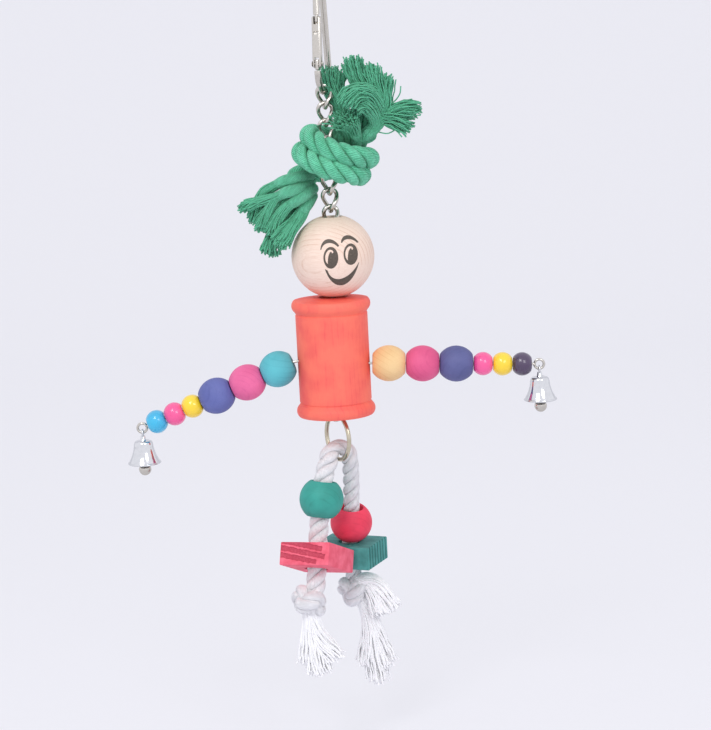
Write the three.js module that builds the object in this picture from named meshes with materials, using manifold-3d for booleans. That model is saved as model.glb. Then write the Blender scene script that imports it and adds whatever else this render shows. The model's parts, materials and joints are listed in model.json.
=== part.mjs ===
// Hanging chew toy for a cage bird, shaped as a little figure. A snap hook and a chain of twisted
// links carry a ball head, a spool body, two arms of beads on one wire, and legs of looped rope.
// Millimetres, +Z up, seen from -Y. The origin is the inside top of the hook, where it hangs on a bar.

import * as THREE from 'three';
import { mergeVertices } from 'three/addons/utils/BufferGeometryUtils.js';
import Module from 'manifold-3d';

// Clearances
const GAP = 0.3;               // between neighbours that touch on the real object
const HOLE_PLAY = 0.5;         // round a wire in a drilled hole

// Snap hook
const HOOK_LENGTH = 50;
const HOOK_WIRE = 3;
const HOOK_TOP_WIDTH = 13;
const HOOK_BOTTOM_WIDTH = 20;
const HOOK_TURN = 75;          // degrees that its plane turns away from the viewer
const GATE_LENGTH = 20.8;      // above the rivet
const GATE_DEPTH = 3.4;        // in the hook's plane
const GATE_WIDTH = 4.2;        // across the hook's plane
const GATE_HEEL = 1.9;         // below the rivet
const RIVET_DROP = 33.2;       // the rivet below the origin
const RIVET_DIAMETER = 1.5;
const RIVET_HEAD = 2.6;
const RIVET_HEAD_HEIGHT = 0.5;
const TONGUE = 1.6;            // flattened end of the frame inside the gate's fork
const NOSE_TONGUE = 1.4;       // flattened nose inside the gate's notch
const NOSE_TONGUE_LENGTH = 3.2;
const SPRING_DIAMETER = 1.2;
const SPRING_LENGTH = 7;

// Chain
const LINK_WIRE = 1.9;
const LINK_WIDTH = 8.2;
const LINK_LENGTH = 11.7;
const LINK_COUNT = 8;
const LINK_TWIST = 90;         // degrees from one end of a link to the other
const LINK_TURN = -30;         // degrees that the links' faces turn from the viewer

// Head and spool
const HEAD_DIAMETER = 37;
const HEAD_BORE = 9.4;
const HEAD_DROP = 1.3;         // the head's top rim below the last link outside it
const SPOOL_HEIGHT = 54.5;
const SPOOL_BARREL = 32.4;
const SPOOL_RIM = 35.5;
const SPOOL_RIM_HEIGHT = 6.8;
const SPOOL_BORE = 10;
const SPOOL_SHIFT = -2.1;      // the spool hangs this far beside the chain's line
const RECESS = 13.2;           // widened mouth under the spool, where the ring sits
const RECESS_DEPTH = 3.5;
const CORE_WIRE = 2;
const CORE_EYE = 7.4;          // outside diameter

// Arms
const ARM_WIRE = 1.2;
const ARM_DROP = 29.2;         // the cross hole below the spool's top
const ARM_SLANT = 4.5;         // degrees that the cross hole falls to the right
const ARM_FORWARD = 3;         // the cross hole before the spool's axis, clear of the core wire
const ARM_BEND = 0.4;          // outside the barrel
const LEFT_DROOP = 20.8;       // degrees
const RIGHT_DROOP = 3.2;
const LEFT_START = 1.7;        // from the bend to the first bead
const RIGHT_START = 0.7;
const RIGHT_LEAD = 0.4;        // bare wire before the right eye
const BIG_BEAD = 16.2;
const BIG_BEAD_LENGTH = 14.8;
const BIG_BEAD_END = 8.4;      // diameter of the flat ends
const SMALL_BEAD = 10.6;
const SMALL_BEAD_LENGTH = 8.5;
const SMALL_BEAD_END = 5.8;
const ARM_EYE = 5.4;           // outside diameter

// Bells
const BELL_TOP = 8;
const BELL_MOUTH = 14.6;
const BELL_HEIGHT = 10.4;
const BELL_WALL = 0.6;
const BELL_NECK = 2.6;
const BELL_NECK_HEIGHT = 2.3;
const BELL_EYE = 3.9;          // outside diameter
const BELL_EYE_WIRE = 0.9;
const CLAPPER = 5.6;
const CLAPPER_WIRE = 0.7;
const CLAPPER_EYE = 2.7;       // outside diameter
const CLAPPER_BELOW = 2.9;     // the ball's centre below the bell's mouth

// Ring and white rope
const RING = 22.5;
const RING_WIRE = 2;
const RING_TURN = -60;         // degrees
const RING_INSET = 1.6;        // the ring's top above the spool's lower face
const WHITE_ROPE = 8.5;
const ROPE_BORE = 10.6;        // drilled through the balls and blocks
const GREEN_BALL = 20;
const RED_BALL = 19.3;
const BLOCK_HEIGHT = 10.4;
const RED_BLOCK = [24, 28];
const GREEN_BLOCK = [28, 23];
const BLOCK_TURN = -23;        // degrees
const LEFT_KNOT = [19, 14];
const RIGHT_KNOT = [19, 15];

// The white rope's legs from the ring's lowest point, chosen by hand down each side
const LEFT_LEG = [
  [-6.9, -4.7, -6], [-8.7, -6.4, -16.6], [-10.5, -8.1, -28.8], [-12, -12.8, -42], [-13.4, -18.2, -54.5],
];
const LEFT_BALL_INDEX = 1;
const LEFT_BLOCK_INDEX = 3;
const RIGHT_LEG = [
  [5, 5, -8], [4.6, 8, -20], [3.9, 10.8, -32.3], [2.7, 12.6, -46.8], [3.6, 13, -56.5],
];
const RIGHT_BALL_INDEX = 2;
const RIGHT_BLOCK_INDEX = 3;

// Green rope: a winding round the chain between two tails
const GREEN_ROPE = 9.8;
const WIND_PITCH = 11.2;
const WIND_PLAY = 2.9;         // between the links and the winding, before and behind
const WIND_STRETCH = 2;        // the winding is wider across than deep
const WIND_SHIFT = 2.2;
const WIND_SLOPE = 0.15;       // the right side hangs lower
const WIND_HEIGHT = -68.2;     // where the upper turn passes the front
const WIND_FRONT = 270;        // degrees
const WIND_FROM = 75;
const WIND_FIRST = 165;        // the rope comes in level as far as here
const WIND_LAST = 740;         // and leads off level from here
const WIND_TO = 830;
const WIND_STEP = 22.5;
const WIND_PINCH = 2.5;        // the middle turn is drawn against the chain behind
const WIND_LOOSE = 6;          // the first and last half turns stand off behind
const WIND_LEAST_GAP = 0.4;

// The green tails, chosen by hand outward from the winding's ends
const TOP_TAIL = [
  [11.5, 15.6, -65.4], [17.6, 10.6, -65], [20.8, 4.5, -62.2], [21, -0.2, -58.4], [20.2, -2.6, -54.8],
];
const LEFT_TAIL = [
  [-8.5, 15, -82.6], [-14.5, 9.5, -85.2], [-19.5, 3.5, -89.8], [-23, 0, -94], [-25.6, -1.8, -97.6],
];

// Frayed ends: each bundle runs from one point to another and spreads to a width and a thickness
const TOP_FRAY = [
  { from: [19.4, -3.6, -53], to: [8.8, -2.8, -33.4], width: 8, thickness: 7 },
  { from: [20, -3.6, -53], to: [20.6, -6, -31.4], width: 19, thickness: 9 },
  { from: [20.6, -3.6, -52], to: [39.6, -5, -59.5], width: 13, thickness: 8 },
  { from: [19, -5, -52], to: [6.4, -17.5, -54.6], width: 14, thickness: 11 },
];
const LEFT_FRAY = [
  { from: [-25, -2, -96.6], to: [-39.4, -3, -97.4], width: 9, thickness: 8 },
  { from: [-25.4, -2, -96.6], to: [-33.6, -4, -111], width: 12, thickness: 9 },
  { from: [-25.2, -2, -96.6], to: [-26.2, -4.5, -117], width: 10, thickness: 9 },
  { from: [-24.6, -2, -96.6], to: [-21.4, -5, -108], width: 7, thickness: 8 },
];
const LEFT_ROPE_FRAY = [
  { from: [0, 0, 0], to: [-2.6, 1, -26], width: 7, thickness: 6 },
  { from: [0.4, 0, 0], to: [9.6, 0, -23], width: 9, thickness: 7 },
];
const RIGHT_ROPE_FRAY = [{ from: [0.8, 0, 2], to: [4.6, 0, -36], width: 10, thickness: 7 }];
const SIDE_FRAY = [{ from: [0, 0, 0], to: [7.2, 0, -14.6], width: 9, thickness: 7 }];

// Finishes
const STEEL = { color: 0xc9c9c4, roughness: 0.28, metalness: 1 };
const CHROME = { color: 0xdedee0, roughness: 0.12, metalness: 1 };
const BARE_WOOD = { color: 0xe6c9b0, roughness: 0.7, metalness: 0 };
const GREEN_COTTON = { color: 0x35a377, roughness: 0.95, metalness: 0 };
const WHITE_COTTON = { color: 0xf4f2f2, roughness: 0.95, metalness: 0 };

function dyed(color) {
  return { color, roughness: 0.62, metalness: 0 };
}

function lacquered(color) {
  return { color, roughness: 0.3, metalness: 0 };
}

const wasm = await Module();
wasm.setup();
const toy = new THREE.Group();
const radians = THREE.MathUtils.degToRad;
const UP = new THREE.Vector3(0, 0, 1);

function point([x, y, z]) {
  return new THREE.Vector3(x, y, z);
}

function addPart(name, geometry, finish, parent = toy) {
  const mesh = new THREE.Mesh(geometry, new THREE.MeshStandardMaterial(finish));
  mesh.name = name;
  parent.add(mesh);
  return mesh;
}

// Solids: joining and cutting

function solidOf(geometry) {
  const bare = geometry.clone();
  bare.deleteAttribute('normal');
  bare.deleteAttribute('uv');
  const merged = mergeVertices(bare, 1e-4);
  const corners = merged.index.array;
  const kept = [];
  for (let i = 0; i < corners.length; i += 3) {
    const [a, b, c] = corners.slice(i, i + 3);
    if (a !== b && b !== c && c !== a) kept.push(a, b, c);
  }
  const vertProperties = Float32Array.from(merged.attributes.position.array);
  const triVerts = Uint32Array.from(kept);
  return new wasm.Manifold(new wasm.Mesh({ numProp: 3, vertProperties, triVerts }));
}

function geometryOf(solid) {
  const { vertProperties, triVerts } = solid.getMesh();
  const geometry = new THREE.BufferGeometry();
  geometry.setAttribute('position', new THREE.BufferAttribute(vertProperties, 3));
  geometry.setIndex(new THREE.BufferAttribute(triVerts, 1));
  geometry.computeVertexNormals();
  return geometry;
}

function join(...geometries) {
  return geometryOf(geometries.map(solidOf).reduce((whole, next) => whole.add(next)));
}

function cut(geometry, ...tools) {
  return geometryOf(tools.map(solidOf).reduce((left, tool) => left.subtract(tool), solidOf(geometry)));
}

// Shapes

function turned(profile, segments) {
  const points = profile.map(([radius, height]) => new THREE.Vector2(radius, height));
  return new THREE.LatheGeometry(points, segments).rotateX(Math.PI / 2);
}

function arc(centre, radius, from, to, steps) {
  return Array.from({ length: steps + 1 }, (_, i) => {
    const angle = radians(from + ((to - from) * i) / steps);
    return [centre[0] + radius * Math.cos(angle), centre[1] + radius * Math.sin(angle)];
  });
}

function rod(diameter, length, sides = 10) {
  const radius = diameter / 2;
  return turned([[0, 0], [radius, 0], [radius, length], [0, length]], sides);
}

function block(x, y, z) {
  return new THREE.BoxGeometry(x, y, z);
}

// A ring lies in the XZ plane, with its outside diameter given.
function ring(outside, wire, steps, sides = 6) {
  return new THREE.TorusGeometry((outside - wire) / 2, wire / 2, sides, steps).rotateX(Math.PI / 2);
}

// A curve that steps from point to point, so that a tube has one ring at each of them.
class Route extends THREE.Curve {
  constructor(points) {
    super();
    this.points = points;
  }

  getPoint(t, target = new THREE.Vector3()) {
    const place = t * (this.points.length - 1);
    const i = Math.min(Math.floor(place), this.points.length - 2);
    return target.copy(this.points[i]).lerp(this.points[i + 1], place - i);
  }

  getPointAt(t, target) {
    return this.getPoint(t, target);
  }

  getTangentAt(t, target) {
    return this.getTangent(t, target);
  }
}

function tube(points, diameter, sides) {
  const section = new THREE.Shape();
  section.setFromPoints(arc([0, 0], diameter / 2, 0, 360 - 360 / sides, sides - 1).map(
    ([x, y]) => new THREE.Vector2(x, y),
  ));
  const extrudePath = new Route(points);
  return new THREE.ExtrudeGeometry(section, { steps: points.length - 1, extrudePath });
}

function smooth(points, steps) {
  return new THREE.CatmullRomCurve3(points, false, 'centripetal').getSpacedPoints(steps);
}

// Turns a shape that stands on Z to lie along a direction, with its foot at a point.
function aim(geometry, foot, direction) {
  geometry.applyQuaternion(new THREE.Quaternion().setFromUnitVectors(UP, direction.clone().normalize()));
  return geometry.translate(foot.x, foot.y, foot.z);
}

function drilledBall(diameter, bore, segments, steps) {
  const rim = THREE.MathUtils.radToDeg(Math.acos(bore / diameter));
  const profile = arc([0, 0], diameter / 2, -rim, rim, steps);
  return turned([...profile, profile[0]], segments);
}

function halfHeight(diameter, bore) {
  return Math.sqrt(diameter ** 2 - bore ** 2) / 2;
}

// A bundle of loose yarn widens from its foot to near its end.
function bundle({ from, to, width, thickness }) {
  const foot = point(from);
  const run = point(to).sub(foot);
  const length = run.length();
  const shape = turned(
    [[0, 0], [0.22, 0], [0.3, 0.25], [0.44, 0.62], [0.5, 0.84], [0.34, 0.97], [0, 1]],
    10,
  );
  return aim(shape.scale(width, thickness, length), foot, run);
}

function fray(bundles, at = new THREE.Vector3()) {
  return join(...bundles.map(bundle)).translate(at.x, at.y, at.z);
}

// Snap hook: built flat in its own plane, spine at +X and gate at -X, then turned about Z

function buildHook() {
  const hook = new THREE.Group();
  hook.rotation.z = radians(HOOK_TURN);
  toy.add(hook);
  const topRadius = (HOOK_TOP_WIDTH - HOOK_WIRE) / 2;
  const bottomRadius = (HOOK_BOTTOM_WIDTH - HOOK_WIRE) / 2;
  const topZ = HOOK_WIRE / 2 - topRadius;
  const bottomZ = 1.5 * HOOK_WIRE - HOOK_LENGTH + bottomRadius;
  const lean = Math.atan2(bottomRadius - topRadius, topZ - bottomZ);
  const rivetX = -topRadius - (topZ + RIVET_DROP) * Math.tan(lean);
  const toGate = new THREE.Matrix4().makeRotationY(lean).setPosition(rivetX, 0, -RIVET_DROP);
  const onGate = (x, z) => new THREE.Vector3(x, 0, z).applyMatrix4(toGate);

  const noseEnd = GATE_LENGTH + GAP + 0.1;
  const wireEnd = -GATE_HEEL - 1.1;
  const flat = ([x, z]) => new THREE.Vector3(x, 0, z);
  const wire = tube([
    onGate(0, noseEnd),
    ...arc([0, topZ], topRadius, 180, 0, 8).map(flat),
    ...arc([0, bottomZ], bottomRadius, 0, -180, 10).map(flat),
    onGate(0, wireEnd),
  ], HOOK_WIRE, 8);

  const noseTongue = block(2, NOSE_TONGUE, NOSE_TONGUE_LENGTH + 1)
    .translate(0, 0, noseEnd + (1 - NOSE_TONGUE_LENGTH) / 2)
    .applyMatrix4(toGate);
  const tongueLow = wireEnd - 0.8;
  const tongue = block(3, TONGUE, GATE_HEEL - tongueLow)
    .translate(0, 0, (GATE_HEEL + tongueLow) / 2)
    .applyMatrix4(toGate);
  const across = (diameter) => rod(diameter, 2 * GATE_WIDTH, 12)
    .translate(0, 0, -GATE_WIDTH)
    .rotateX(Math.PI / 2);
  const tongueHole = across(RIVET_DIAMETER + HOLE_PLAY).applyMatrix4(toGate);
  addPart('hook_frame', cut(join(wire, noseTongue, tongue), tongueHole), STEEL, hook);

  const gate = new THREE.Group();
  gate.applyMatrix4(toGate);
  hook.add(gate);
  const tongueReach = Math.hypot(GATE_HEEL, 1.5) + GAP;
  const bar = block(GATE_DEPTH, GATE_WIDTH, GATE_LENGTH + GATE_HEEL)
    .translate(0, 0, (GATE_LENGTH - GATE_HEEL) / 2);
  const forkLow = -GATE_HEEL - 1;
  const fork = block(2 * GATE_DEPTH, TONGUE + 2 * GAP, tongueReach - forkLow)
    .translate(0, 0, (tongueReach + forkLow) / 2);
  const notchDepth = NOSE_TONGUE_LENGTH + 2 * GAP;
  const notch = block(GATE_DEPTH, NOSE_TONGUE + 2 * GAP, notchDepth + 2)
    .translate(1 + GAP - GATE_DEPTH / 2, 0, GATE_LENGTH + 1 - notchDepth / 2);
  const springHole = rod(SPRING_DIAMETER + 2 * GAP, SPRING_LENGTH + 2).translate(0, 0, tongueReach - 1);
  const slit = block(1.6, 2.4, 1.3).translate(-GATE_DEPTH / 2, 0, 0.64 * GATE_LENGTH);
  addPart('hook_gate', cut(bar, fork, notch, springHole, slit, across(RIVET_DIAMETER + GAP)), STEEL, gate);
  addPart('gate_spring', rod(SPRING_DIAMETER, SPRING_LENGTH, 8), STEEL, gate).position.z = tongueReach;

  const shank = GATE_WIDTH / 2 + 0.1;
  const end = shank + RIVET_HEAD_HEIGHT;
  const rivet = turned([
    [0, -end], [RIVET_HEAD / 2, -end], [RIVET_HEAD / 2, -shank], [RIVET_DIAMETER / 2, -shank],
    [RIVET_DIAMETER / 2, shank], [RIVET_HEAD / 2, shank], [RIVET_HEAD / 2, end], [0, end],
  ], 10);
  addPart('gate_rivet', rivet.rotateX(Math.PI / 2), STEEL, gate);
}

// Chain: a link is a ring pulled long, its upper half turned one way and its lower half the other

const linkSpan = LINK_LENGTH - LINK_WIRE;
const hookLowest = 1.5 * HOOK_WIRE - HOOK_LENGTH;
const firstLinkTop = hookLowest + (HOOK_WIRE + LINK_WIRE) / 2 + GAP;

function linkTop(count) {
  return firstLinkTop - (count - 1) * (linkSpan - LINK_WIRE - GAP);
}

function linkBottom(count) {
  return linkTop(count) - linkSpan;
}

function twistedLink() {
  const steps = 16;
  const geometry = ring(LINK_WIDTH, LINK_WIRE, steps, 8).rotateY(Math.PI / steps);
  const stretch = (LINK_LENGTH - LINK_WIDTH) / 2;
  const place = geometry.attributes.position;
  const corner = new THREE.Vector3();
  for (let i = 0; i < place.count; i += 1) {
    corner.fromBufferAttribute(place, i);
    const half = Math.sign(corner.z);
    corner.z += half * stretch;
    corner.applyAxisAngle(UP, radians((half * LINK_TWIST) / 2));
    place.setXYZ(i, corner.x, corner.y, corner.z);
  }
  return geometry;
}

function buildChain() {
  for (let count = 1; count <= LINK_COUNT; count += 1) {
    const link = addPart(`chain_link_${count}`, twistedLink(), STEEL);
    link.position.z = (linkTop(count) + linkBottom(count)) / 2;
    link.rotation.z = radians(LINK_TURN);
  }
}

// Head, spool and the wire through both

const headHalf = halfHeight(HEAD_DIAMETER, HEAD_BORE);
const headZ = linkBottom(LINK_COUNT - 1) - LINK_WIRE / 2 - HEAD_DROP - headHalf;
const spoolTop = headZ - headHalf - GAP;
const spoolBottom = spoolTop - SPOOL_HEIGHT;
const ringTop = spoolBottom + RING_INSET - RING_WIRE / 2;
const ringZ = ringTop - (RING - RING_WIRE) / 2;
const ringLowest = new THREE.Vector3(SPOOL_SHIFT, 0, 2 * ringZ - ringTop);
const armZ = spoolTop - ARM_DROP;

function buildHead() {
  addPart('head', drilledBall(HEAD_DIAMETER, HEAD_BORE, 24, 12), BARE_WOOD).position.z = headZ;
}

function buildSpool() {
  const rim = SPOOL_RIM / 2;
  const barrel = SPOOL_BARREL / 2;
  const bore = SPOOL_BORE / 2;
  const recess = RECESS / 2;
  const bead = SPOOL_RIM_HEIGHT / 2;
  const edge = (rim - barrel) * 1.3;
  const low = RECESS_DEPTH - SPOOL_HEIGHT;
  const upperRim = [
    [barrel, -2 * bead], [barrel + 0.4, -2 * bead], [rim - 0.3, -1.5 * bead], [rim, -bead],
    [rim - 0.35, -0.5 * bead], [rim - edge, 0],
  ];
  const lowerRim = upperRim.map(([radius, z]) => [radius, -SPOOL_HEIGHT - z]).reverse();
  const profile = [
    [bore, low + recess - bore], [recess, low], [recess, -SPOOL_HEIGHT],
    ...lowerRim, ...upperRim,
    [bore + 0.8, 0], [bore, -0.8],
  ];
  const body = turned([...profile, profile[0]], 28);
  const hole = rod(ARM_WIRE + 2 * HOLE_PLAY, 2 * SPOOL_RIM, 10)
    .translate(0, 0, -SPOOL_RIM)
    .rotateY(Math.PI / 2 + radians(ARM_SLANT))
    .translate(0, -ARM_FORWARD, -ARM_DROP);
  addPart('spool', cut(body, hole), dyed(0xf56a58)).position.set(SPOOL_SHIFT, 0, spoolTop);
}

function buildCore() {
  const eyeRadius = (CORE_EYE - CORE_WIRE) / 2;
  const reach = (CORE_WIRE + LINK_WIRE) / 2 + GAP;
  const upper = new THREE.Vector3(0, 0, linkBottom(LINK_COUNT) + reach - eyeRadius);
  const lower = new THREE.Vector3(SPOOL_SHIFT, 0, ringTop - (CORE_WIRE + RING_WIRE) / 2 - GAP + eyeRadius);
  const eye = (at, turn) => ring(CORE_EYE, CORE_WIRE, 16)
    .rotateZ(radians(turn))
    .translate(at.x, at.y, at.z);
  const run = lower.clone().sub(upper);
  const along = run.clone().normalize().multiplyScalar(eyeRadius);
  const shaft = aim(rod(CORE_WIRE, run.length() - 2 * eyeRadius), upper.clone().add(along), run);
  const upperTurn = LINK_TURN + LINK_TWIST / 2;
  addPart('core_wire', join(shaft, eye(upper, upperTurn), eye(lower, RING_TURN + 90)), STEEL);
}

// Arms: one wire through the spool, bent down at each side, with beads and a bell on each

function armBead(diameter, length, end, segments, steps) {
  const half = length / 2;
  const reach = (end / 2) ** 2 + half ** 2 - (diameter / 2) ** 2;
  const centre = reach / (end - diameter);
  const radius = diameter / 2 - centre;
  const rim = THREE.MathUtils.radToDeg(Math.asin(half / radius));
  const bore = ARM_WIRE / 2 + HOLE_PLAY;
  const side = arc([centre, 0], radius, -rim, rim, steps);
  return turned([[bore, -half], ...side, [bore, half], [bore, -half]], segments);
}

function armSide(sign, droop, start, lead) {
  const angle = radians(droop);
  const direction = new THREE.Vector3(sign * Math.cos(angle), 0, -Math.sin(angle));
  const out = sign * (SPOOL_BARREL / 2 + ARM_BEND);
  const bendZ = armZ - out * Math.tan(radians(ARM_SLANT));
  const bend = new THREE.Vector3(SPOOL_SHIFT + out, -ARM_FORWARD, bendZ);
  const beads = [];
  let reach = start;
  for (let i = 0; i < 6; i += 1) {
    const length = i < 3 ? BIG_BEAD_LENGTH : SMALL_BEAD_LENGTH;
    beads.push(bend.clone().addScaledVector(direction, reach + length / 2));
    reach += length + GAP;
  }
  const eye = bend.clone().addScaledVector(direction, reach + lead + ARM_EYE / 2);
  return { direction, bend, beads, eye };
}

const arms = {
  left: armSide(-1, LEFT_DROOP, LEFT_START, 0),
  right: armSide(1, RIGHT_DROOP, RIGHT_START, RIGHT_LEAD),
};
const beadFinishes = {
  left: [
    dyed(0x38b0b5), dyed(0xdd5b9c), dyed(0x5a5da6),
    lacquered(0xf7d636), lacquered(0xf2569f), lacquered(0x2db2e8),
  ],
  right: [
    dyed(0xe8cf8b), dyed(0xcf4d8c), dyed(0x565a9b),
    lacquered(0xf43f8f), lacquered(0xf8d63a), lacquered(0x41305c),
  ],
};

function buildArmWire() {
  const { left, right } = arms;
  const pieces = [tube([left.bend, right.bend], ARM_WIRE, 8)];
  for (const { direction, bend, eye } of [left, right]) {
    const eyeRadius = (ARM_EYE - ARM_WIRE) / 2;
    const end = eye.clone().addScaledVector(direction, -eyeRadius);
    pieces.push(tube([bend, end], ARM_WIRE, 8));
    pieces.push(new THREE.SphereGeometry(ARM_WIRE / 2, 8, 6).translate(bend.x, bend.y, bend.z));
    pieces.push(ring(ARM_EYE, ARM_WIRE, 14).translate(eye.x, eye.y, eye.z));
  }
  addPart('arm_wire', join(...pieces), STEEL);
}

function buildBeads() {
  for (const [side, { beads, direction }] of Object.entries(arms)) {
    beads.forEach((centre, i) => {
      const shape = i < 3
        ? armBead(BIG_BEAD, BIG_BEAD_LENGTH, BIG_BEAD_END, 16, 7)
        : armBead(SMALL_BEAD, SMALL_BEAD_LENGTH, SMALL_BEAD_END, 14, 6);
      const bead = addPart(`${side}_bead_${i + 1}`, shape, beadFinishes[side][i]);
      bead.position.copy(centre);
      bead.quaternion.setFromUnitVectors(UP, direction);
    });
  }
}

function bellShape(eyeZ, topZ, staple) {
  const top = BELL_TOP / 2;
  const mouth = BELL_MOUTH / 2;
  const waist = (top + mouth) / 2 - 0.25;
  const outer = [
    [mouth, -1], [mouth - 0.75, -0.85], [waist, -0.62], [top + 0.3, -0.16], [top, -0.06], [top - 1.2, 0],
  ].map(([radius, share]) => [radius, share * BELL_HEIGHT]);
  const inner = outer.map(([radius, z]) => [radius - BELL_WALL, Math.min(z, -1.5 * BELL_WALL)]).reverse();
  const shell = turned([[0, -1.5 * BELL_WALL], ...inner, ...outer, [0, 0]], 20).translate(0, 0, topZ);
  const neck = rod(BELL_NECK, BELL_NECK_HEIGHT + 0.4).translate(0, 0, topZ - 0.2);
  const eye = ring(BELL_EYE, BELL_EYE_WIRE, 12).rotateZ(Math.PI / 2).translate(0, 0, eyeZ);
  return join(shell, neck, eye, staple);
}

function buildBell(side, eye) {
  const eyeRadius = (BELL_EYE - BELL_EYE_WIRE) / 2;
  const armEyeRadius = (ARM_EYE - ARM_WIRE) / 2;
  const stapleRadius = (CLAPPER_EYE - CLAPPER_WIRE) / 2;
  const eyeZ = (ARM_WIRE + BELL_EYE_WIRE) / 2 + GAP - armEyeRadius - eyeRadius;
  const topZ = eyeZ - eyeRadius - BELL_NECK_HEIGHT + 0.3;
  const stapleZ = topZ - 1.5 * BELL_WALL - stapleRadius + 0.3;
  const staple = ring(CLAPPER_EYE, CLAPPER_WIRE, 10).rotateZ(Math.PI / 2).translate(0, 0, stapleZ);
  addPart(`${side}_bell`, bellShape(eyeZ, topZ, staple), CHROME).position.copy(eye);

  const hangZ = stapleZ - stapleRadius + CLAPPER_WIRE + GAP - stapleRadius;
  const ballZ = topZ - BELL_HEIGHT - CLAPPER_BELOW;
  const shaftLength = hangZ - stapleRadius - ballZ;
  const shaft = rod(CLAPPER_WIRE, shaftLength, 8).translate(0, 0, ballZ);
  const ball = new THREE.SphereGeometry(CLAPPER / 2, 12, 8).rotateX(Math.PI / 2).translate(0, 0, ballZ);
  const hang = ring(CLAPPER_EYE, CLAPPER_WIRE, 10).translate(0, 0, hangZ);
  addPart(`${side}_clapper`, join(shaft, ball, hang), STEEL).position.copy(eye);
}

// Ring, white rope and what hangs on it

function buildRing() {
  const part = addPart('ring', ring(RING, RING_WIRE, 28, 8), STEEL);
  part.position.set(SPOOL_SHIFT, 0, ringZ);
  part.rotation.z = radians(RING_TURN);
}

const legs = {
  left: LEFT_LEG.map((place) => point(place).add(ringLowest)),
  right: RIGHT_LEG.map((place) => point(place).add(ringLowest)),
};

function archOverRing() {
  const radius = (RING_WIRE + WHITE_ROPE) / 2 + GAP;
  const across = new THREE.Vector3(Math.cos(radians(RING_TURN + 90)), Math.sin(radians(RING_TURN + 90)), 0);
  return arc([0, 0], radius, 180, 0, 8).map(
    ([x, z]) => ringLowest.clone().addScaledVector(across, x).addScaledVector(UP, z),
  );
}

function legDirection(leg, at) {
  return leg[Math.max(at - 1, 0)].clone().sub(leg[Math.min(at + 1, leg.length - 1)]).normalize();
}

function buildWhiteRope() {
  const corners = [...legs.left.slice().reverse(), ...archOverRing(), ...legs.right];
  addPart('white_rope', tube(smooth(corners, 36), WHITE_ROPE, 8), WHITE_COTTON);
  const frays = { left: LEFT_ROPE_FRAY, right: RIGHT_ROPE_FRAY };
  const knots = { left: LEFT_KNOT, right: RIGHT_KNOT };
  for (const [side, leg] of Object.entries(legs)) {
    const [width, height] = knots[side];
    const end = leg[leg.length - 1];
    const downward = leg[leg.length - 2].clone().sub(end).normalize().negate();
    const centre = end.clone().addScaledVector(downward, height / 2 + GAP);
    const ball = new THREE.SphereGeometry(0.5, 14, 9).rotateX(Math.PI / 2).scale(width, width, height);
    const knot = aim(ball, centre, downward);
    addPart(`white_knot_${side}`, knot, WHITE_COTTON);
    const low = centre.clone().addScaledVector(UP, -height / 2 - GAP);
    const grown = aim(
      new THREE.SphereGeometry(0.5, 14, 9).rotateX(Math.PI / 2)
        .scale(width + 2 * GAP, width + 2 * GAP, height + 2 * GAP),
      centre,
      downward,
    );
    addPart(`white_fray_${side}`, cut(fray(frays[side], low), grown), WHITE_COTTON);
    if (side === 'right') {
      const beside = centre.clone().add(new THREE.Vector3(width / 2 - 1, 0, 1));
      const apart = cut(fray(SIDE_FRAY, beside), grown, fray(frays[side], low));
      addPart('white_fray_side', apart, WHITE_COTTON);
    }
  }
}

function buildBalls() {
  const place = (name, diameter, finish, leg, at) => {
    const ball = addPart(name, drilledBall(diameter, ROPE_BORE, 20, 9), finish);
    ball.position.copy(leg[at]);
    ball.quaternion.setFromUnitVectors(UP, legDirection(leg, at));
  };
  place('green_ball', GREEN_BALL, dyed(0x2f9c8c), legs.left, LEFT_BALL_INDEX);
  place('red_ball', RED_BALL, dyed(0xcd3f61), legs.right, RIGHT_BALL_INDEX);
}

function drilledBlock([width, depth]) {
  const hole = rod(ROPE_BORE, 2 * BLOCK_HEIGHT, 14).translate(0, 0, -BLOCK_HEIGHT);
  return cut(block(width, depth, BLOCK_HEIGHT).rotateZ(radians(BLOCK_TURN)), hole);
}

function buildBlocks() {
  const red = addPart('red_block', drilledBlock(RED_BLOCK), dyed(0xe0576f));
  red.position.copy(legs.left[LEFT_BLOCK_INDEX]);
  red.quaternion.setFromUnitVectors(UP, legDirection(legs.left, LEFT_BLOCK_INDEX));
  const green = addPart('green_block', drilledBlock(GREEN_BLOCK), dyed(0x2c8a78));
  green.position.copy(legs.right[RIGHT_BLOCK_INDEX]);
}

// Green rope: the winding grips the chain, and its two tails end in loose yarn

const windDeep = LINK_WIDTH / 2 + WIND_PLAY + GREEN_ROPE / 2;
const windWide = windDeep + WIND_STRETCH;

function windingPoint(degrees) {
  const across = windWide * Math.cos(radians(degrees));
  const round = Math.sin(radians(degrees));
  const middle = degrees > 360 && degrees < 540;
  const falling = THREE.MathUtils.clamp(degrees, WIND_FIRST, WIND_LAST);
  const loose = WIND_LOOSE * Math.min(1, Math.abs(degrees - falling) / 90);
  const back = (windDeep + loose) * round - (middle ? WIND_PINCH * round ** 2 : 0);
  const fall = (WIND_PITCH * (falling - WIND_FRONT)) / 360 + WIND_SLOPE * across;
  return new THREE.Vector3(WIND_SHIFT + across, back, WIND_HEIGHT - fall);
}

// The least room between turns, on points at least half a turn apart along the rope.
function leastGap(points) {
  const apart = Math.round(180 / WIND_STEP);
  let least = Infinity;
  for (let i = 0; i < points.length; i += 1) {
    for (let k = i + apart; k < points.length; k += 1) {
      least = Math.min(least, points[i].distanceTo(points[k]) - GREEN_ROPE);
    }
  }
  return least;
}

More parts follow.
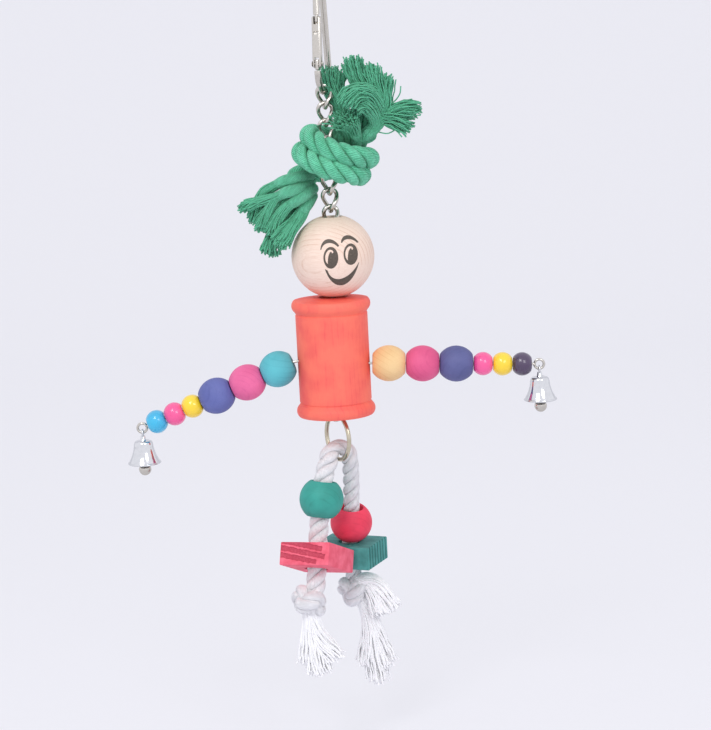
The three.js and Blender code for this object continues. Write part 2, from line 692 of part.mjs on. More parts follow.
function buildGreenRope() {
  const turns = [];
  for (let degrees = WIND_FROM; degrees <= WIND_TO; degrees += WIND_STEP) turns.push(windingPoint(degrees));
  const room = leastGap(turns);
  console.log(`green knot: least gap ${room.toFixed(2)} mm, wanted over ${WIND_LEAST_GAP} mm`);
  addPart('green_knot', tube(turns, GREEN_ROPE, 8), GREEN_COTTON);
  const ends = {
    top: { start: turns[0], before: turns[1], tail: TOP_TAIL, bundles: TOP_FRAY },
    left: { start: turns.at(-1), before: turns.at(-2), tail: LEFT_TAIL, bundles: LEFT_FRAY },
  };
  const grownKnot = tube(turns, GREEN_ROPE + 2 * GAP, 8);
  for (const [name, { start, before, tail, bundles }] of Object.entries(ends)) {
    const outward = start.clone().sub(before).normalize();
    const foot = start.clone().addScaledVector(outward, GAP);
    const lead = foot.clone().addScaledVector(outward, 1);
    const path = smooth([foot, lead, ...tail.map(point)], 10);
    addPart(`green_tail_${name}`, cut(tube(path, GREEN_ROPE, 8), grownKnot), GREEN_COTTON);
    const last = path.at(-1).clone();
    const past = last.clone().addScaledVector(last.clone().sub(path.at(-2)).normalize(), GAP);
    const grownTail = tube([...path, past], GREEN_ROPE + 2 * GAP, 8);
    addPart(`green_fray_${name}`, cut(fray(bundles), grownTail, grownKnot), GREEN_COTTON);
  }
}

buildHook();
buildChain();
buildGreenRope();
buildHead();
buildSpool();
buildCore();
buildArmWire();
buildBeads();
buildBell('left', arms.left.eye);
buildBell('right', arms.right.eye);
buildRing();
buildWhiteRope();
buildBalls();
buildBlocks();

export default toy;
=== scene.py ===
# %% [markdown]
# # Dressing a hanging bird toy
# The toy is a little figure that hangs in a cage for a bird to chew: a snap hook and a chain, a ball
# head, a spool for a body, two arms of beads and two legs of cotton rope. The frame that is loaded here
# holds every piece at its real size and says how it moves. This lesson gives each piece its fine shape
# and its finish. The frame itself is never moved.

# %% Load the frame
import json
import math
import random

import bmesh
import bpy
import numpy as np
from mathutils import Matrix, Vector


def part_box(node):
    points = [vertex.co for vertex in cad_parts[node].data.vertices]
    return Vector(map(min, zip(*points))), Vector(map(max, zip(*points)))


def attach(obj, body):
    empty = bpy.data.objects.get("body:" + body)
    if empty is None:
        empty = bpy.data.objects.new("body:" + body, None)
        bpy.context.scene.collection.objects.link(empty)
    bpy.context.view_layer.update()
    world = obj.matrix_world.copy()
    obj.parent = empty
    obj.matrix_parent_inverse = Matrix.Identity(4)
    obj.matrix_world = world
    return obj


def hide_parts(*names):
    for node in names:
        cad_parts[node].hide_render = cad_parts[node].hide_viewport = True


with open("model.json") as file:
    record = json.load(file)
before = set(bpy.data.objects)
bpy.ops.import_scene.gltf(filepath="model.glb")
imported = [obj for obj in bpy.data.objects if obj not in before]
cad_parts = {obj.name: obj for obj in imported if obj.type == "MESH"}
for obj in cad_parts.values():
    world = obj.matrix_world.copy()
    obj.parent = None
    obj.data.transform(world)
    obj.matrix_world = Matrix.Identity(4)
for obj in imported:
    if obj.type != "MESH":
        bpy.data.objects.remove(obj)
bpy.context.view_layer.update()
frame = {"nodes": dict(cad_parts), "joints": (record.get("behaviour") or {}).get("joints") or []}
joints = {joint["name"]: joint for joint in frame["joints"]}

# %% [markdown]
# ## The camera
# The camera stands about 0.9 m away with a long lens and looks a little down. The toy hangs slightly
# askew, and since the frame stays where it is, the camera leans by that much instead. A long lens keeps
# the arms from looking stretched, which a wide lens close by would do.

# %% Set up the camera
MM = 0.001
CAMERA_PLACE = (15.22, -895.38, -16.78)
CAMERA_PITCH = 9.6
CAMERA_LEAN = 2.9
CAMERA_LENS = 99.52
CAMERA_REACH = 20000
SENSOR_HEIGHT = 36


def placed(name, data):
    """A new object in the scene."""
    made = bpy.data.objects.new(name, data)
    bpy.context.scene.collection.objects.link(made)
    return made


def turning(degrees, axis="Z"):
    """A turn round one of the axes."""
    return Matrix.Rotation(math.radians(degrees), 4, axis)


eye = bpy.data.cameras.new("camera")
eye.lens = CAMERA_LENS
eye.sensor_fit = "VERTICAL"
eye.sensor_height = SENSOR_HEIGHT
eye.clip_end = CAMERA_REACH * MM
camera = placed("camera", eye)
aim = turning(CAMERA_LEAN, "Y") @ turning(90 - CAMERA_PITCH, "X")
camera.matrix_world = Matrix.Translation(Vector(CAMERA_PLACE) * MM) @ aim
bpy.context.scene.camera = camera
view_angle = 2 * math.degrees(math.atan(SENSOR_HEIGHT / 2 / CAMERA_LENS))
print("camera sees", round(view_angle, 1), "degrees up and down")

# %% [markdown]
# ## Helpers for long, thin things
# Ropes, yarns and wires are all a section carried along a line. Blender's curves can do that with a
# bevel, but a laid rope needs a section that turns as it goes, so the rings of corners are worked out
# here and joined into a mesh. All sizes are in millimetres until a piece is put in the scene.

# %% Lines and the surfaces along them
SPLINE_STEPS = 20
ANY_SIDE = (0.3, 0.5, 0.8)


def spaced(corners, step):
    """Points about `step` apart on a centripetal Catmull-Rom curve through the corners."""
    def between(t, low, high, a, b):
        return a + (b - a) * (t - low) / (high - low)

    corners = np.array(corners, float)
    chain = [2 * corners[0] - corners[1], *corners, 2 * corners[-1] - corners[-2]]
    line = []
    for a, b, c, d in zip(chain, chain[1:], chain[2:], chain[3:]):
        k = np.cumsum([0, *(np.linalg.norm(q - p) ** 0.5 for p, q in ((a, b), (b, c), (c, d)))])
        for t in np.linspace(k[1], k[2], SPLINE_STEPS, endpoint=False):
            ab = between(t, k[0], k[1], a, b)
            bc = between(t, k[1], k[2], b, c)
            cd = between(t, k[2], k[3], c, d)
            first = between(t, k[0], k[2], ab, bc)
            second = between(t, k[1], k[3], bc, cd)
            line.append(between(t, k[1], k[2], first, second))
    line = np.array([*line, corners[-1]])
    gone = lengths_along(line)
    stops = np.linspace(0, gone[-1], max(2, round(gone[-1] / step)) + 1)
    return np.stack([np.interp(stops, gone, line[:, i]) for i in range(3)], 1)


def lengths_along(line):
    """How far along the line each of its points lies."""
    return np.concatenate([[0], np.cumsum(np.linalg.norm(np.diff(line, axis=0), axis=1))])


def side_vectors(line, closed=False):
    """Two side vectors at each point of a line, carried along it with as little turning as they can."""
    ahead = np.roll(line, -1, 0) - np.roll(line, 1, 0) if closed else np.gradient(line, axis=0)
    ahead /= np.linalg.norm(ahead, axis=1)[:, None]
    side = np.cross(ahead[0], ANY_SIDE)
    sides = []
    for tangent in [*ahead, ahead[0]]:
        side = side - tangent * (side @ tangent)
        side = side / np.linalg.norm(side)
        sides.append(side)
    last = sides.pop()
    across = np.array(sides)
    over = np.cross(ahead, across)
    if closed:
        slip = math.atan2(last @ over[0], last @ across[0])
        share = -slip * np.arange(len(line))[:, None] / len(line)
        cos, sin = np.cos(share), np.sin(share)
        across, over = cos * across + sin * over, cos * over - sin * across
    return across, over


def skin(rings, closed=False):
    """Joins rings of corners into one closed surface, with a flat cap on each open end."""
    count, sides = rings.shape[:2]
    index = np.arange(count * sides).reshape(count, sides)
    lower, upper = (index, np.roll(index, -1, 0)) if closed else (index[:-1], index[1:])
    quads = np.stack([lower, np.roll(lower, -1, 1), np.roll(upper, -1, 1), upper], -1).reshape(-1, 4)
    caps = [] if closed else [index[0][::-1].tolist(), index[-1].tolist()]
    return rings.reshape(-1, 3), quads.tolist() + caps


def wire(line, diameter, sides=14, closed=False):
    """A round wire along a line; the diameter is one number, or one for each point."""
    line = np.array(line, float)
    across, over = side_vectors(line, closed)
    angles = np.arange(sides) * 2 * np.pi / sides
    outward = np.cos(angles)[:, None] * across[:, None] + np.sin(angles)[:, None] * over[:, None]
    radius = np.broadcast_to(np.array(diameter, float) / 2, len(line))
    return skin(line[:, None] + radius[:, None, None] * outward, closed)


def joined(*shapes):
    """Several shapes as one, each still closed by itself."""
    points, faces, start = [], [], 0
    for shape_points, shape_faces in shapes:
        points.append(np.array(shape_points, float))
        faces += [[corner + start for corner in face] for face in shape_faces]
        start += len(shape_points)
    return np.concatenate(points), faces


# %% Put a shape in the scene
def joint_at(name):
    """Where a joint is, in millimetres."""
    return Vector(joints[name]["pos_m"]) / MM


def loose_mesh(name, shape):
    """A shape as a Blender mesh, with every face turned outward."""
    points, faces = shape
    mesh = bpy.data.meshes.new(name)
    mesh.from_pydata([tuple(point) for point in points], [], faces)
    work = bmesh.new()
    work.from_mesh(mesh)
    bmesh.ops.recalc_face_normals(work, faces=work.faces)
    work.to_mesh(mesh)
    work.free()
    return mesh


def piece(name, shape, finish, body, stands_for=(), place=None, crease=38, straight=None):
    """Puts a shape in the scene: finished, riding on its body and standing for its CAD nodes."""
    mesh = loose_mesh(name, (np.array(shape[0], float) * MM, shape[1]))
    mesh.shade_smooth()
    mesh.set_sharp_from_angle(angle=math.radians(crease))
    mesh.materials.append(finish)
    if straight is not None:
        places = mesh.attributes.new("straight", "FLOAT_VECTOR", "POINT")
        places.data.foreach_set("vector", (straight * MM).astype(np.float32).ravel())
    made = placed(name, mesh)
    if place is not None:
        turned_to = place.to_quaternion().to_matrix().to_4x4()
        made.matrix_world = Matrix.Translation(place.translation * MM) @ turned_to
    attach(made, body)
    if stands_for:
        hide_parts(*stands_for)
    print(name, len(mesh.polygons), "faces on", body)
    return made


# %% [markdown]
# ## Mixing a finish
# Every finish below is a node tree that ends in the Principled shader. One function adds a node, sets
# its properties and fills its sockets with a value or a link, so that a tree reads as a list of what it
# is made of. A node that is given for a socket stands for its first output. Colours are written as sRGB
# hex values, as a paint chart gives them, and one function turns them into the linear numbers that the
# shader works with.

# %% Nodes and colours
def linear(colour):
    """An sRGB hex colour as linear red, green, blue and alpha."""
    channels = [int(colour[i:i + 2], 16) / 255 for i in (1, 3, 5)]
    return [*(c / 12.92 if c <= 0.04045 else ((c + 0.055) / 1.055) ** 2.4 for c in channels), 1.0]


def add_node(tree, kind, sockets=(), **settings):
    """Adds a node with its properties, and fills each named socket with a value or a link."""
    made = tree.nodes.new("ShaderNode" + kind)
    for name, value in settings.items():
        setattr(made, name, value)
    for name, value in dict(sockets).items():
        value = value.outputs[0] if isinstance(value, bpy.types.Node) else value
        if isinstance(value, bpy.types.NodeSocket):
            tree.links.new(value, made.inputs[name])
        else:
            made.inputs[name].default_value = value
    return made


def empty_finish(name):
    """A new material with nothing in its node tree."""
    material = bpy.data.materials.new(name)
    material.use_nodes = True
    material.node_tree.nodes.clear()
    return material, material.node_tree


def close_finish(tree, sockets):
    """Ends a node tree in the Principled shader."""
    shader = add_node(tree, "BsdfPrincipled", sockets)
    add_node(tree, "OutputMaterial", {"Surface": shader})


def per_mm(size):
    """The texture scale at which one feature is `size` millimetres wide."""
    return 1 / (size * MM)


# %% [markdown]
# ## Cotton rope
# Both ropes are three-strand cotton, laid to the right. The eye sees fat soft strands with dark grooves
# between them, and on each strand fine yarns that run almost along the rope. The strands are real
# geometry. The yarns are less than a millimetre wide, so they are ridges in a bump, drawn in the rope as
# it would lie if it were pulled straight: each corner of the mesh carries that straight place with it.
# Cotton is matt, has a little soft sheen from loose fibres, lets some light through and takes dye
# unevenly. Its colour is also darker in the valleys between the yarn ridges, as painted shade.

# %% Laid cotton
YARNS_ROUND = 40
YARN_WANDER = 3
YARN_RIDGE = 0.25
YARN_HEIGHT = 0.5
# A real cotton fibre is too fine to show, so it is drawn as coarse as this.
FIBRE_WIDTH, FIBRE_LENGTH = 0.4, 1.6
DYE_PATCH = 6
DARK_BELOW, LIGHT_ABOVE = 0.65, 1.3
COTTON_GLOW = 1.8


def laid_cotton(name, light, dark, glow):
    """Cotton: yarn ridges round the straight rope, fine fibres along it, uneven dye and painted shade
    between yarns.
    """
    material, tree = empty_finish(name)
    straight = add_node(tree, "Attribute", attribute_name="straight").outputs["Vector"]
    parts = add_node(tree, "SeparateXYZ", {"Vector": straight})
    patches = add_node(tree, "TexNoise", {
        "Vector": straight, "Scale": per_mm(DYE_PATCH), "Detail": 3.0,
    })
    round_rope = add_node(tree, "Math", {
        0: parts.outputs["Y"], 1: parts.outputs["X"],
    }, operation="ARCTAN2")
    wander = add_node(tree, "Math", {0: patches.outputs["Fac"], 1: YARN_WANDER}, operation="MULTIPLY")
    turn = add_node(tree, "Math", {
        0: round_rope, 1: YARNS_ROUND, 2: wander,
    }, operation="MULTIPLY_ADD")
    ridge = add_node(tree, "Math", {0: turn}, operation="SINE")
    along = add_node(tree, "Mapping", {
        "Vector": straight, "Scale": (1, 1, FIBRE_WIDTH / FIBRE_LENGTH),
    })
    fibres = add_node(tree, "TexNoise", {
        "Vector": along, "Scale": per_mm(FIBRE_WIDTH), "Detail": 2.0, "Roughness": 0.7,
    })
    height = add_node(tree, "Math", {
        0: ridge, 1: YARN_RIDGE, 2: fibres.outputs["Fac"],
    }, operation="MULTIPLY_ADD")
    # Painted shade: the colour darkens where the yarn ridges dip, besides the patches of uneven dye.
    valley_shade_and_dye = add_node(tree, "Math", {0: height, 1: patches.outputs["Fac"]}, operation="ADD")
    share = add_node(tree, "MapRange", {
        "Value": valley_shade_and_dye, "From Min": DARK_BELOW, "From Max": LIGHT_ABOVE,
    })
    colour = add_node(tree, "MixRGB", {
        "Fac": share, "Color1": linear(dark), "Color2": linear(light),
    })
    bump = add_node(tree, "Bump", {"Height": height, "Strength": 1.0, "Distance": YARN_HEIGHT * MM})
    close_finish(tree, {
        "Base Color": colour, "Roughness": 0.92, "Normal": bump,
        "Sheen Weight": 0.15, "Sheen Roughness": 0.5, "Subsurface Weight": glow,
        "Subsurface Radius": (1, 1, 1), "Subsurface Scale": COTTON_GLOW * MM,
    })
    return material


# Each cotton's dark colour is painted shade in the yarn valleys and the darker side of its dye patches.
green_cotton = laid_cotton("laid_green_cotton", "#81EAC0", "#3FA67A", glow=0.1)
# The frayed yarns wear a darker copy of the green cotton: painted shade for the yarns' shadows on each
# other.
shaded_green_yarn = laid_cotton("frayed_green_cotton_shaded", "#5AB48D", "#22724F", glow=0.1)
white_cotton = laid_cotton("laid_white_cotton", "#FFFFFF", "#F8F7FA", glow=0.0)

# %% [markdown]
# ## The green rope
# One short rope grips the chain: it comes down from a frayed top end, goes nearly twice round the links
# and leads off to a frayed left end. The turns are an oval helix, worked out by a formula, and the two
# tails are listed points. The frame's solid keeps its turns apart, as a solid has to. Here they
# lie closer and slope more, as the real ones do. At each end the rope stops short, where it is unlaid.

# %% The line of the green rope
GREEN_ROPE = 9.8
WIND_WIDE, WIND_DEEP = 13.6, 11.9
WIND_PITCH = 7.2
WIND_SHIFT, WIND_DRIFT = 3.45, 4
WIND_SLOPE = 0.28
WIND_SAG = 1.8
WIND_HEIGHT = -70.1
WIND_FRONT, WIND_BACK = 270, 450
WIND_FROM, WIND_TO = 105, 800
WIND_FIRST, WIND_LAST = 165, 740
WIND_STEP = 15
WIND_PINCH, PINCH_FROM, PINCH_TO = 2.5, 360, 540
WIND_LOOSE, LOOSE_AFTER = 6, 90
TOP_TAIL = [
    (11.5, 15.6, -65.4), (17.6, 10.6, -65), (20.8, 4.5, -62.2), (21, -0.2, -58.4), (20.2, -2.6, -54.8),
]
LEFT_TAIL = [
    (-8.5, 15, -82.6), (-14.5, 9.5, -85.2), (-19.5, 3.5, -89.8), (-23, 0, -94), (-25.6, -1.8, -97.6),
]
ROPE_STEP = 0.8
UNLAID_TOP, UNLAID_LEFT = 17, 18


def winding_point(degrees):
    """A point of the oval turns: each hangs lower at right and in front, and nests in the last one."""
    across = WIND_WIDE * math.cos(math.radians(degrees))
    depth = math.sin(math.radians(degrees))
    falling = min(max(degrees, WIND_FIRST), WIND_LAST)
    loose = WIND_LOOSE * min(1, abs(degrees - falling) / LOOSE_AFTER)
    pinch = WIND_PINCH * depth ** 2 if PINCH_FROM < degrees < PINCH_TO else 0
    sag = WIND_SAG * min(depth, 0) ** 2
    fall = WIND_PITCH * (falling - WIND_FRONT) / 360 + WIND_SLOPE * across + sag
    drift = WIND_DRIFT * (falling - WIND_BACK) / 360
    return WIND_SHIFT - drift + across, (WIND_DEEP + loose) * depth - pinch, WIND_HEIGHT - fall


turns = [winding_point(degrees) for degrees in range(WIND_FROM, WIND_TO + 1, WIND_STEP)]
green_line = spaced([*reversed(TOP_TAIL), *turns, *LEFT_TAIL], ROPE_STEP)
green_line = green_line[round(UNLAID_TOP / ROPE_STEP):-round(UNLAID_LEFT / ROPE_STEP)]
print("green rope", round(lengths_along(green_line)[-1], 1), "mm of it still laid")

# %% [markdown]
# ## The white rope
# The legs are one white rope. It goes over the lowest point of the ring in a tight arch and hangs down
# on both sides, through a ball and a block on each, to a stopper knot. The arch is half a circle round
# the ring's wire, and the joint between ring and rope gives its middle.

# %% The line of the white rope
WHITE_ROPE = 8.5
ARCH_RADIUS, ARCH_POINTS = 5.55, 9
UP = np.array((0, 0, 1))
LEFT_LEG = [
    (-6.9, -4.7, -6), (-8.7, -6.4, -16.6), (-10.5, -8.1, -28.8), (-12, -12.8, -42),
    (-13.4, -18.2, -54.5),
]
RIGHT_LEG = [
    (5, 5, -8), (4.6, 8, -20), (3.9, 10.8, -32.3), (2.7, 12.6, -46.8), (3.6, 13, -56.5),
]
LEFT_KNOT, RIGHT_KNOT = (-16.4, -19.6, -60.4), (4.3, 13.2, -65.4)

ring_low = np.array(joints["legs_swing"]["pos_m"]) / MM
ring_axis = np.array(joints["legs_swing"]["axis"])
arch_way = np.cross(ring_axis, UP)
arch = [
    ring_low + ARCH_RADIUS * (math.cos(angle) * arch_way + math.sin(angle) * UP)
    for angle in np.linspace(math.pi, 0, ARCH_POINTS)
]
left_leg = [ring_low + point for point in LEFT_LEG]
right_leg = [ring_low + point for point in RIGHT_LEG]
left_knot, right_knot = ring_low + LEFT_KNOT, ring_low + RIGHT_KNOT
white_line = spaced([left_knot, *reversed(left_leg), *arch, *right_leg, right_knot], ROPE_STEP)
print("white rope", round(lengths_along(white_line)[-1], 1), "mm long")

# %% [markdown]
# ## Three strands in one skin
# A rope's section is three ovals round its middle: a strand crosses the section at a slant, which makes
# its round outline wider than it is thick. Turning that section as it travels makes the strands, and
# letting the corners turn with them keeps the grooves sharp. Turning to the right along the way gives
# the slant that both ropes have. A rope is thinner where it is pulled hard, and fuller near a loose end.

# %% Lay the ropes
SECTION_CORNERS = 96
STRAND_CENTRE, STRAND_THICK, STRAND_WIDE = 0.55, 0.45, 0.58
LAY_LENGTH = 2.1
GREEN_FULLNESS, GREEN_LOOSE, GREEN_END = 1.0, 1.3, 0.9
GREEN_OPENS, GREEN_OPEN, GREEN_CLOSES = 16, 6, 4
WHITE_LEFT, WHITE_RIGHT = 1.05, 0.9
WHITE_PINCHED, WHITE_PINCH_REACH = 0.84, 9
WHITE_SOFTNESS = 0.35


def strand_section():
    """How far the section reaches at each of its corners, as a share of the rope's radius."""
    section = np.arange(SECTION_CORNERS) * 2 * np.pi / SECTION_CORNERS
    off_strand = (section + np.pi / 3) % (2 * np.pi / 3) - np.pi / 3
    square = (np.cos(off_strand) / STRAND_THICK) ** 2 + (np.sin(off_strand) / STRAND_WIDE) ** 2
    toward = np.cos(off_strand) * STRAND_CENTRE / STRAND_THICK ** 2
    beyond = (STRAND_CENTRE / STRAND_THICK) ** 2 - 1
    return section, (toward + np.sqrt(np.maximum(toward ** 2 - square * beyond, 0))) / square


def laid_rope(line, diameter, fullness=1.0, softness=0.0, closed=False):
    """Three strands along a line as one skin, and the place of each corner in the straight rope."""
    across, over = side_vectors(line, closed)
    gone = lengths_along(line)
    section, reach = strand_section()
    full = np.broadcast_to(np.array(fullness, float), len(line))
    radius = full[:, None] * diameter / 2 * (reach + softness * (1 - reach))
    wound = np.concatenate([[0], np.cumsum(np.diff(gone) / full[1:])])
    turns = wound[-1] / (LAY_LENGTH * diameter)
    turns = round(3 * turns) / 3 if closed else turns
    angle = section[None] + 2 * np.pi * turns * (wound / wound[-1])[:, None]
    outward = np.cos(angle)[..., None] * across[:, None] + np.sin(angle)[..., None] * over[:, None]
    rings = line[:, None] + radius[..., None] * outward
    height = np.broadcast_to(gone[:, None], angle.shape)
    straight = np.stack([radius * np.cos(angle), radius * np.sin(angle), height], -1)
    return skin(rings, closed), straight.reshape(-1, 3)


def eased(share):
    """Goes from 0 to 1 with a soft start and end."""
    share = np.clip(share, 0, 1)
    return share * share * (3 - 2 * share)


green_gone = lengths_along(green_line)
opening = eased((green_gone - green_gone[-1] + GREEN_OPENS) / (GREEN_OPENS - GREEN_OPEN))
closing = eased((green_gone - green_gone[-1]) / GREEN_CLOSES + 1)
fullness = GREEN_FULLNESS + (GREEN_LOOSE - GREEN_FULLNESS) * opening
fullness = fullness - (GREEN_LOOSE - GREEN_END) * closing
shape, straight = laid_rope(green_line, GREEN_ROPE, fullness)
green_rope = piece(
    "green_rope", shape, green_cotton, "knot",
    ("green_knot", "green_tail_left", "green_tail_top"), crease=70, straight=straight,
)
off_ring = np.linalg.norm(white_line - arch[len(arch) // 2], axis=1)
leg_fullness = np.where(np.arange(len(off_ring)) < np.argmin(off_ring), WHITE_LEFT, WHITE_RIGHT)
fullness = WHITE_PINCHED + (leg_fullness - WHITE_PINCHED) * eased(off_ring / WHITE_PINCH_REACH)
shape, straight = laid_rope(white_line, WHITE_ROPE, fullness, WHITE_SOFTNESS)
white_rope = piece(
    "white_rope_laid", shape, white_cotton, "legs", ("white_rope",), crease=70,
    straight=straight,
)

# %% [markdown]
# ## Stopper knots
# Each leg ends in an overhand knot, which keeps the block on. An overhand knot is an open trefoil, and
# when it is pulled tight its outside is that of the closed one, which has a short formula. The closed
# trefoil is laid here as a rope, with its own strands, and the leg runs into its middle.

# %% Tie the knots
KNOT_ROPE = 8.2
KNOT_POINTS = 160
KNOT_SIZES = {"left": (18, 12.6), "right": (18, 14)}


def overhand(width, height):
    """The line of a tight overhand knot that fills a given width and height."""
    reach = (width - KNOT_ROPE) / 2 / 3
    rise = (height - KNOT_ROPE) / 2
    t = np.linspace(0, 2 * np.pi, KNOT_POINTS, endpoint=False)
    x = reach * (np.sin(t) + 2 * np.sin(2 * t))
    y = reach * (np.cos(t) - 2 * np.cos(2 * t))
    return np.stack([x, y, -rise * np.sin(3 * t)], 1)


def on_axis(point, axis):
    """A place whose Z lies along an axis."""
    turn = Vector((0, 0, 1)).rotation_difference(Vector(axis))
    return Matrix.Translation(Vector(point)) @ turn.to_matrix().to_4x4()


for side, leg, middle in (("left", left_leg, left_knot), ("right", right_leg, right_knot)):
    shape, straight = laid_rope(overhand(*KNOT_SIZES[side]), KNOT_ROPE, 1, WHITE_SOFTNESS, True)
    piece(
        f"white_knot_{side}_tied", shape, white_cotton, "legs", (f"white_knot_{side}",),
        place=on_axis(middle, leg[-1] - middle), crease=70, straight=straight,
    )

# %% [markdown]
# ## Frayed ends
# Where a rope is cut it comes apart into its strands first, and then each strand into yarns. A particle
# hair system would make the yarns, but each as a thin tube is a real mesh that can be seen from any side
# and exported. A bundle of yarns starts inside a strand, bends toward its tip and spreads there like a
# brush. A fixed seed makes the same brush each time. The yarns are thick enough to show singly.

# %% Yarns
GREEN_YARN, CLUMPED_YARN, WHITE_YARN = 0.6, 0.75, 0.95
YARN_SIDES = 5
YARN_POINTS = 15
YARN_TURN = 1.2
YARN_SPINE_STEP = 0.5
CRIMP, CRIMP_WAVE = 0.55, 11
CRIMP_LEAST, CRIMP_MOST = 0.6, 1.4
FLARE = 2
STRAY = 0.22
CUT_ROUND, CUT_UNEVEN = 2.5, 3
SPREAD_SHADE, TURN_SHADE = 40, 7
NEARLY_BACK = (0, 1, 0.01)


def unit(vector):
    """A vector's direction, one long."""
    return np.array(vector, float) / np.linalg.norm(vector)


def yarn(line, size, twist):
    """One yarn along a line, and its places in the straight rope; the twist gives it its own shade."""
    along = np.repeat(lengths_along(line), YARN_SIDES)
    return wire(line, size, YARN_SIDES), np.stack([np.full_like(along, twist), 0 * along, along], 1)


def bundle(draw, size, corners, widths, thickness, count, opens=FLARE):
    """Yarns that keep together as a strand along a bent line and spread at its tip like a brush."""
    strand = spaced(corners, YARN_SPINE_STEP)
    gone = lengths_along(strand)
    length = gone[-1]
    made = []
    for _ in range(count):
        spread, turn = math.sqrt(draw.random()), draw.uniform(0, 2 * math.pi)
        cut = 1 - (CUT_ROUND * spread ** 2 + draw.uniform(0, CUT_UNEVEN)) / length
        t = np.linspace(0, cut, YARN_POINTS)
        spine = np.stack([np.interp(t, gone / length, strand[:, i]) for i in range(3)], 1)
        ahead = np.gradient(spine, axis=0)
        ahead /= np.linalg.norm(ahead, axis=1)[:, None]
        across = np.cross(ahead, NEARLY_BACK)
        across /= np.linalg.norm(across, axis=1)[:, None]
        over = np.cross(across, ahead)
        flare = t ** opens
        wide = widths[0] + (widths[1] - widths[0]) * flare
        thick = widths[0] + (thickness - widths[0]) * flare
        waves = length / CRIMP_WAVE * draw.uniform(CRIMP_LEAST, CRIMP_MOST)
        wave = 2 * math.pi * waves * t + draw.uniform(0, 2 * math.pi)
        aside = spread * np.cos(turn + YARN_TURN * t) + flare * draw.gauss(0, STRAY)
        before = spread * np.sin(turn + YARN_TURN * t) + flare * draw.gauss(0, STRAY)
        line = spine + (0.5 * wide * aside + CRIMP * flare * np.sin(wave))[:, None] * across
        line = line + (0.5 * thick * before + CRIMP * flare * np.cos(wave))[:, None] * over
        made.append(yarn(line, size, SPREAD_SHADE * spread + TURN_SHADE * turn))
    return made


def tuft(name, seed, size, bundles, loose, finish, body):
    """One frayed end, made of several bundles and of single yarns that have come loose."""
    draw = random.Random(seed)
    made = [one for values in bundles for one in bundle(draw, size, *values)]
    made += [yarn(spaced(corners, 1), size, count) for count, corners in enumerate(loose)]
    return piece(
        name + "_yarns", joined(*(shape for shape, _ in made)), finish, body, (name,), crease=80,
        straight=np.concatenate([straight for _, straight in made]),
    )


# %% Open the green strands
OPEN_STRAND = 5.4
STRAND_SIDES = 24
STRAND_TURN = 34
STRAND_THINS, STRAND_TIP = 0.65, 0.5


def strand(corners):
    """A strand of the opened rope, thinner where its yarns part, and its places in the straight rope."""
    line = spaced(corners, ROPE_STEP)
    gone = lengths_along(line)[:, None]
    thinning = eased((gone / gone[-1] - STRAND_THINS) / (1 - STRAND_THINS))
    width = OPEN_STRAND * (1 - (1 - STRAND_TIP) * thinning)
    angle = np.arange(STRAND_SIDES) * 2 * np.pi / STRAND_SIDES + 2 * np.pi * gone / STRAND_TURN
    straight = np.stack([width / 2 * np.cos(angle), width / 2 * np.sin(angle), gone + 0 * angle], -1)
    return wire(line, width[:, 0], STRAND_SIDES), straight.reshape(-1, 3)


TOP_RIGHT = [(15, 8, -69.5), (16.5, -1, -66.5), (20.5, -3, -63), (24.5, -3, -58)]
TOP_MIDDLE = [(14, 3, -70), (13, -3.5, -65.5), (12, -7, -61)]
TOP_LEFT = [(5.5, 5, -70), (5.5, -1, -65.5), (6.5, -6, -61)]
TAIL_UPPER = [
    (-8.5, 11, -82.5), (-11.5, 4, -82.5), (-16, -1, -83), (-20.5, -3, -84), (-25, -3, -86),
    (-28.5, -2, -88),
]
TAIL_MIDDLE = [
    (-9, 9, -86.5), (-13, 0, -87.5), (-16, -4, -88), (-19, -6, -88.5), (-23, -6, -90), (-27, -6, -91),
]
TAIL_LOWER = [
    (-7.5, 9, -88.5), (-10.5, 0, -90.2), (-14.5, -4, -92.3), (-18, -6, -94.2), (-21.5, -6, -97.2),
]
TAIL_RIGHT = [(-8, 8, -91.5), (-10, 1, -94.5), (-13, -3, -98), (-16, -5, -102)]
STRANDS = [TOP_RIGHT, TOP_MIDDLE, TOP_LEFT, TAIL_UPPER, TAIL_MIDDLE, TAIL_LOWER, TAIL_RIGHT]
opened = [strand(corners) for corners in STRANDS]
green_strands = piece(
    "green_strands_opened", joined(*(shape for shape, _ in opened)), green_cotton, "knot",
    crease=70, straight=np.concatenate([straight for _, straight in opened]),
)

